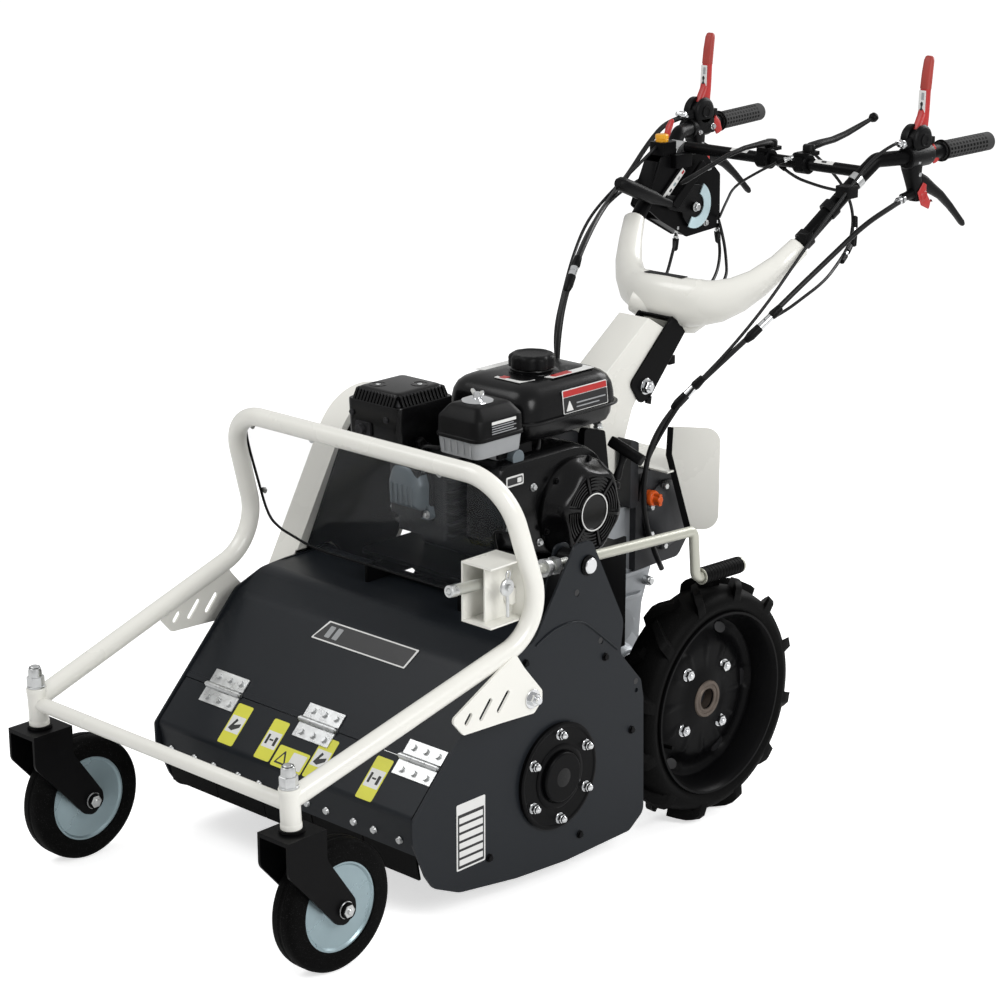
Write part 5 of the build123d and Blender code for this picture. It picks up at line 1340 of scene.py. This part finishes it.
with piece("console_red_sector", "handlebar", "red") as bm:
    slab(bm, -192, -188, [(1548, 1000), (1576, 1002), (1592, 980), (1560, 972)], 5)
with piece("stop_button", "kill_switch", "amber", ["kill_switch"], smooth=30) as bm:
    rings = []
    for height, r in ((0, 11), (1, 12.4), (5, 12.6), (6, 11.6), (7, 12.8), (13.4, 12.8), (15, 11), (15, 1)):
        ring = []
        for k, t in enumerate(turns(32)):
            rr = r - (0.9 if k % 4 < 2 else 0)
            ring.append(P(-201 + rr * cos(t), 1442 + rr * sin(t), 1054 + height))
        rings.append(ring)
    loft(bm, rings)
with piece("stop_flag", "handlebar", "red", smooth=40) as bm:
    sweep(bm, [(-201, 1455, 1058, 4, 4), (-201, 1457, 1066, 4, 7), (-201, 1463, 1080, 3.6, 8),
               (-201, 1470, 1091, 3, 6), (-201, 1472, 1094, 2, 3)], AFT, 18)

# ---- small box on the left tube, tube clips ------------------------------------------------------
tube = D(17, 52, 44)
with piece("tube_clips", "handlebar", "plastic", bevel=0.8, smooth=38) as bm:
    block(bm, 214, 246, 1430, 1462, 1000, 1022, 6)
    lathe(bm, P(206, 1430, 978), tube, [(-9, 14.2), (-9, 18), (9, 18), (9, 14.2)], 28)
    centre = P(194, 1374, 930)
    lathe(bm, centre, tube, [(-8, 14.2), (-8, 18), (8, 18), (8, 14.2)], 28)
    block(bm, 196, 214, 1350, 1372, 926, 944, 3)
with piece("tube_band", "handlebar", "zinc", smooth=38) as bm:
    lathe(bm, P(219, 1490, 1024), tube, [(-7, 14.1), (-7, 15.4), (7, 15.4), (7, 14.1)], 28)


# ---- cables --------------------------------------------------------------------------------------
def centre_line(points):
    """The smooth route along given points, read back as a polyline."""
    made = smooth_curve("route", points, 8)
    graph = bpy.context.evaluated_depsgraph_get()
    mesh = bpy.data.meshes.new_from_object(made.evaluated_get(graph))
    route = [v.co.copy() for v in mesh.vertices]
    bpy.data.objects.remove(made)
    bpy.data.meshes.remove(mesh)
    return route


def bending_cable(name, points, radius, replaces=()):
    """A cable that runs from the handlebar down to the machine."""
    route = centre_line(points)
    bm = bmesh.new()
    rings = []
    side = LEFT
    for i, here in enumerate(route):
        ahead = (route[min(i + 1, len(route) - 1)] - route[max(i - 1, 0)]).normalized()
        side = (side - ahead * side.dot(ahead)).normalized()
        other = ahead.cross(side)
        rings.append([here + (side * cos(t) + other * sin(t)) * radius / 1000 for t in turns(12)])
    loft(bm, rings)
    data = bpy.data.meshes.new(name)
    bmesh.ops.recalc_face_normals(bm, faces=bm.faces)
    bm.to_mesh(data)
    bm.free()
    for face in data.polygons:
        face.use_smooth = True
    data.materials.append(M["cable"])
    made = bpy.data.objects.new(name, data)
    bpy.context.collection.objects.link(made)
    if replaces:
        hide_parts(*replaces)
    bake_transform(made)
    return made, route


LEFT_ROUTE = [(256, 1597, 984), (264, 1540, 975), (256, 1465, 950), (243, 1388, 902), (225, 1310, 850),
              (200, 1226, 785), (150, 1165, 712), (104, 1112, 645), (88, 1072, 580), (86, 1060, 500),
              (92, 1066, 420), (92, 1110, 345)]
RIGHT_ROUTE = [(-256, 1594, 1082), (-262, 1535, 1080), (-256, 1470, 1045), (-238, 1390, 995),
               (-196, 1290, 968), (-140, 1185, 950), (-92, 1085, 905), (-62, 1010, 840), (-48, 978, 765),
               (-48, 976, 690), (-56, 968, 610), (-72, 978, 530), (-88, 990, 460)]
CONSOLE_ROUTE = [(88, 1540, 1050), (112, 1585, 1005), (138, 1600, 945), (160, 1562, 890), (182, 1490, 862),
                 (205, 1420, 845), (208, 1346, 824), (207, 1310, 812), (200, 1250, 796), (190, 1215, 772)]


def places(stations):
    return [P(*s) for s in stations]


for side_name, stations, length in (("left", LEFT_ROUTE, 0.958), ("right", RIGHT_ROUTE, 1.071)):
    cable, route = bending_cable(f"cable_run_{side_name}", places(stations), 5, [f"cable_{side_name}"])
console_cable = wire("cable_run_console", places(CONSOLE_ROUTE), 3, "handlebar", "cable", ["cable_console"])
for k, stations in enumerate(([(259, 1556, 1089), (252, 1500, 1076), (242, 1440, 1020), (226, 1390, 965),
                               (214, 1330, 905), (202, 1260, 832), (172, 1190, 752), (128, 1130, 678),
                               (100, 1092, 606), (78, 1070, 540), (70, 1066, 480)],
                              [(-201, 1432, 1050), (-214, 1380, 1010), (-222, 1300, 960), (-196, 1220, 930),
                               (-148, 1130, 888), (-100, 1050, 838), (-72, 996, 780), (-56, 986, 716),
                               (-56, 984, 640), (-66, 984, 560), (-82, 992, 470)],
                              [(-256, 1590, 992), (-262, 1500, 985), (-250, 1400, 968), (-214, 1290, 948),
                               (-160, 1180, 920), (-108, 1080, 872), (-74, 1008, 808), (-60, 992, 730),
                               (-62, 988, 640), (-76, 986, 560), (-90, 994, 470)])):
    bending_cable(f"cable_beside_{k}", places(stations), 3)
# from the console under the yoke and down the right side of the column into the gearbox
DOWN_COLUMN = [(-84, 1240, 716), (-72, 1170, 668), (-68, 1112, 608), (-66, 1092, 556), (-62, 1088, 505)]
for k, stations in enumerate(([(-190, 1478, 888), (-190, 1476, 862), (-184, 1456, 830), (-168, 1424, 804),
                               (-150, 1380, 788), (-112, 1310, 750)],
                              [(-190, 1600, 880), (-188, 1606, 850), (-170, 1590, 816), (-140, 1540, 786),
                               (-118, 1470, 764), (-98, 1330, 742)],
                              [(-186, 1602, 884), (-178, 1608, 850), (-160, 1596, 812), (-128, 1560, 780),
                               (-112, 1480, 756), (-92, 1330, 734)])):
    lower = [(x - 7 * (k - 1), aft, up + 5 * (k - 1)) for x, aft, up in DOWN_COLUMN]
    bending_cable(f"console_wire_{k}", places(stations + lower), 3.2)
for k, (stations, radius) in enumerate((([(30, 1512, 1026), (64, 1508, 1010), (112, 1500, 1004),
                                          (160, 1480, 1004), (206, 1456, 1008)], 3),
                                        ([(52, 1470, 1040), (20, 1452, 1020), (-40, 1460, 985),
                                          (-110, 1530, 940), (-150, 1570, 915), (-182, 1600, 890)], 2.6))):
    wire(f"control_wire_{k}", places(stations), radius, "handlebar", "cable")
bm, bm_boot = bmesh.new(), bmesh.new()
for start, lead in ((P(-190, 1478, 888), D(0, -0.08, -1)), (P(-190, 1600, 884), D(0, 0.15, -1))):
    lathe(bm, start, lead, [(0, 5), (6, 5.2), (7, 3.6), (18, 3.8), (19, 5), (24, 5), (25, 3)], 20)
    lathe(bm_boot, start, lead, [(24, 3), (24, 6.6), (44, 5.6), (48, 3)], 20)
for place, lead in ((P(150, 1586, 915), D(0.2, -0.3, -1)), (P(168, 1540, 878), D(0.35, -1, -0.4))):
    lathe(bm, place, lead, [(0, 3), (0, 4.6), (14, 4.6), (14, 3)], 20)
    lathe(bm_boot, place, -lead, [(0, 3), (0, 6.4), (20, 5.6), (22, 3)], 20)
    lathe(bm_boot, place + lead * 0.014, lead, [(0, 3), (0, 6.4), (20, 5.6), (22, 3)], 20)
finish_piece("wire_adjusters", bm, "handlebar", "chrome", smooth=30)
finish_piece("wire_boots", bm_boot, "handlebar", "plastic", smooth=35)
bm, bm_boot = bmesh.new(), bmesh.new()
for top, low, span in ((P(210, 1258, 808), P(190, 1212, 768), 28),
                       (P(131, 1142, 686), P(112, 1120, 656), 18),
                       (P(-83, 1062, 885), P(-71, 1032, 859), 20)):
    lead = (low - top).normalized()
    low = top + lead * span / 1000
    lathe(bm_boot, top - lead * 0.026, lead, [(0, 4), (2, 7), (20, 8.6), (26, 7), (26, 4)], 20)
    lathe(bm, top, lead, [(0, 5), (0, 7.2), (span * 0.44, 7.2), (span * 0.44, 6), (span * 0.5, 6),
                          (span * 0.5, 7.2), (span, 7.2), (span, 5)], 20)
    lathe(bm_boot, low, lead, [(0, 4), (0, 8), (22, 8.6), (34, 6), (36, 4)], 20)
for made, name, material in ((bm, "joiner_sleeves", "chrome"), (bm_boot, "joiner_boots", "plastic")):
    finish_piece(name, made, "tilt", material, smooth=35)
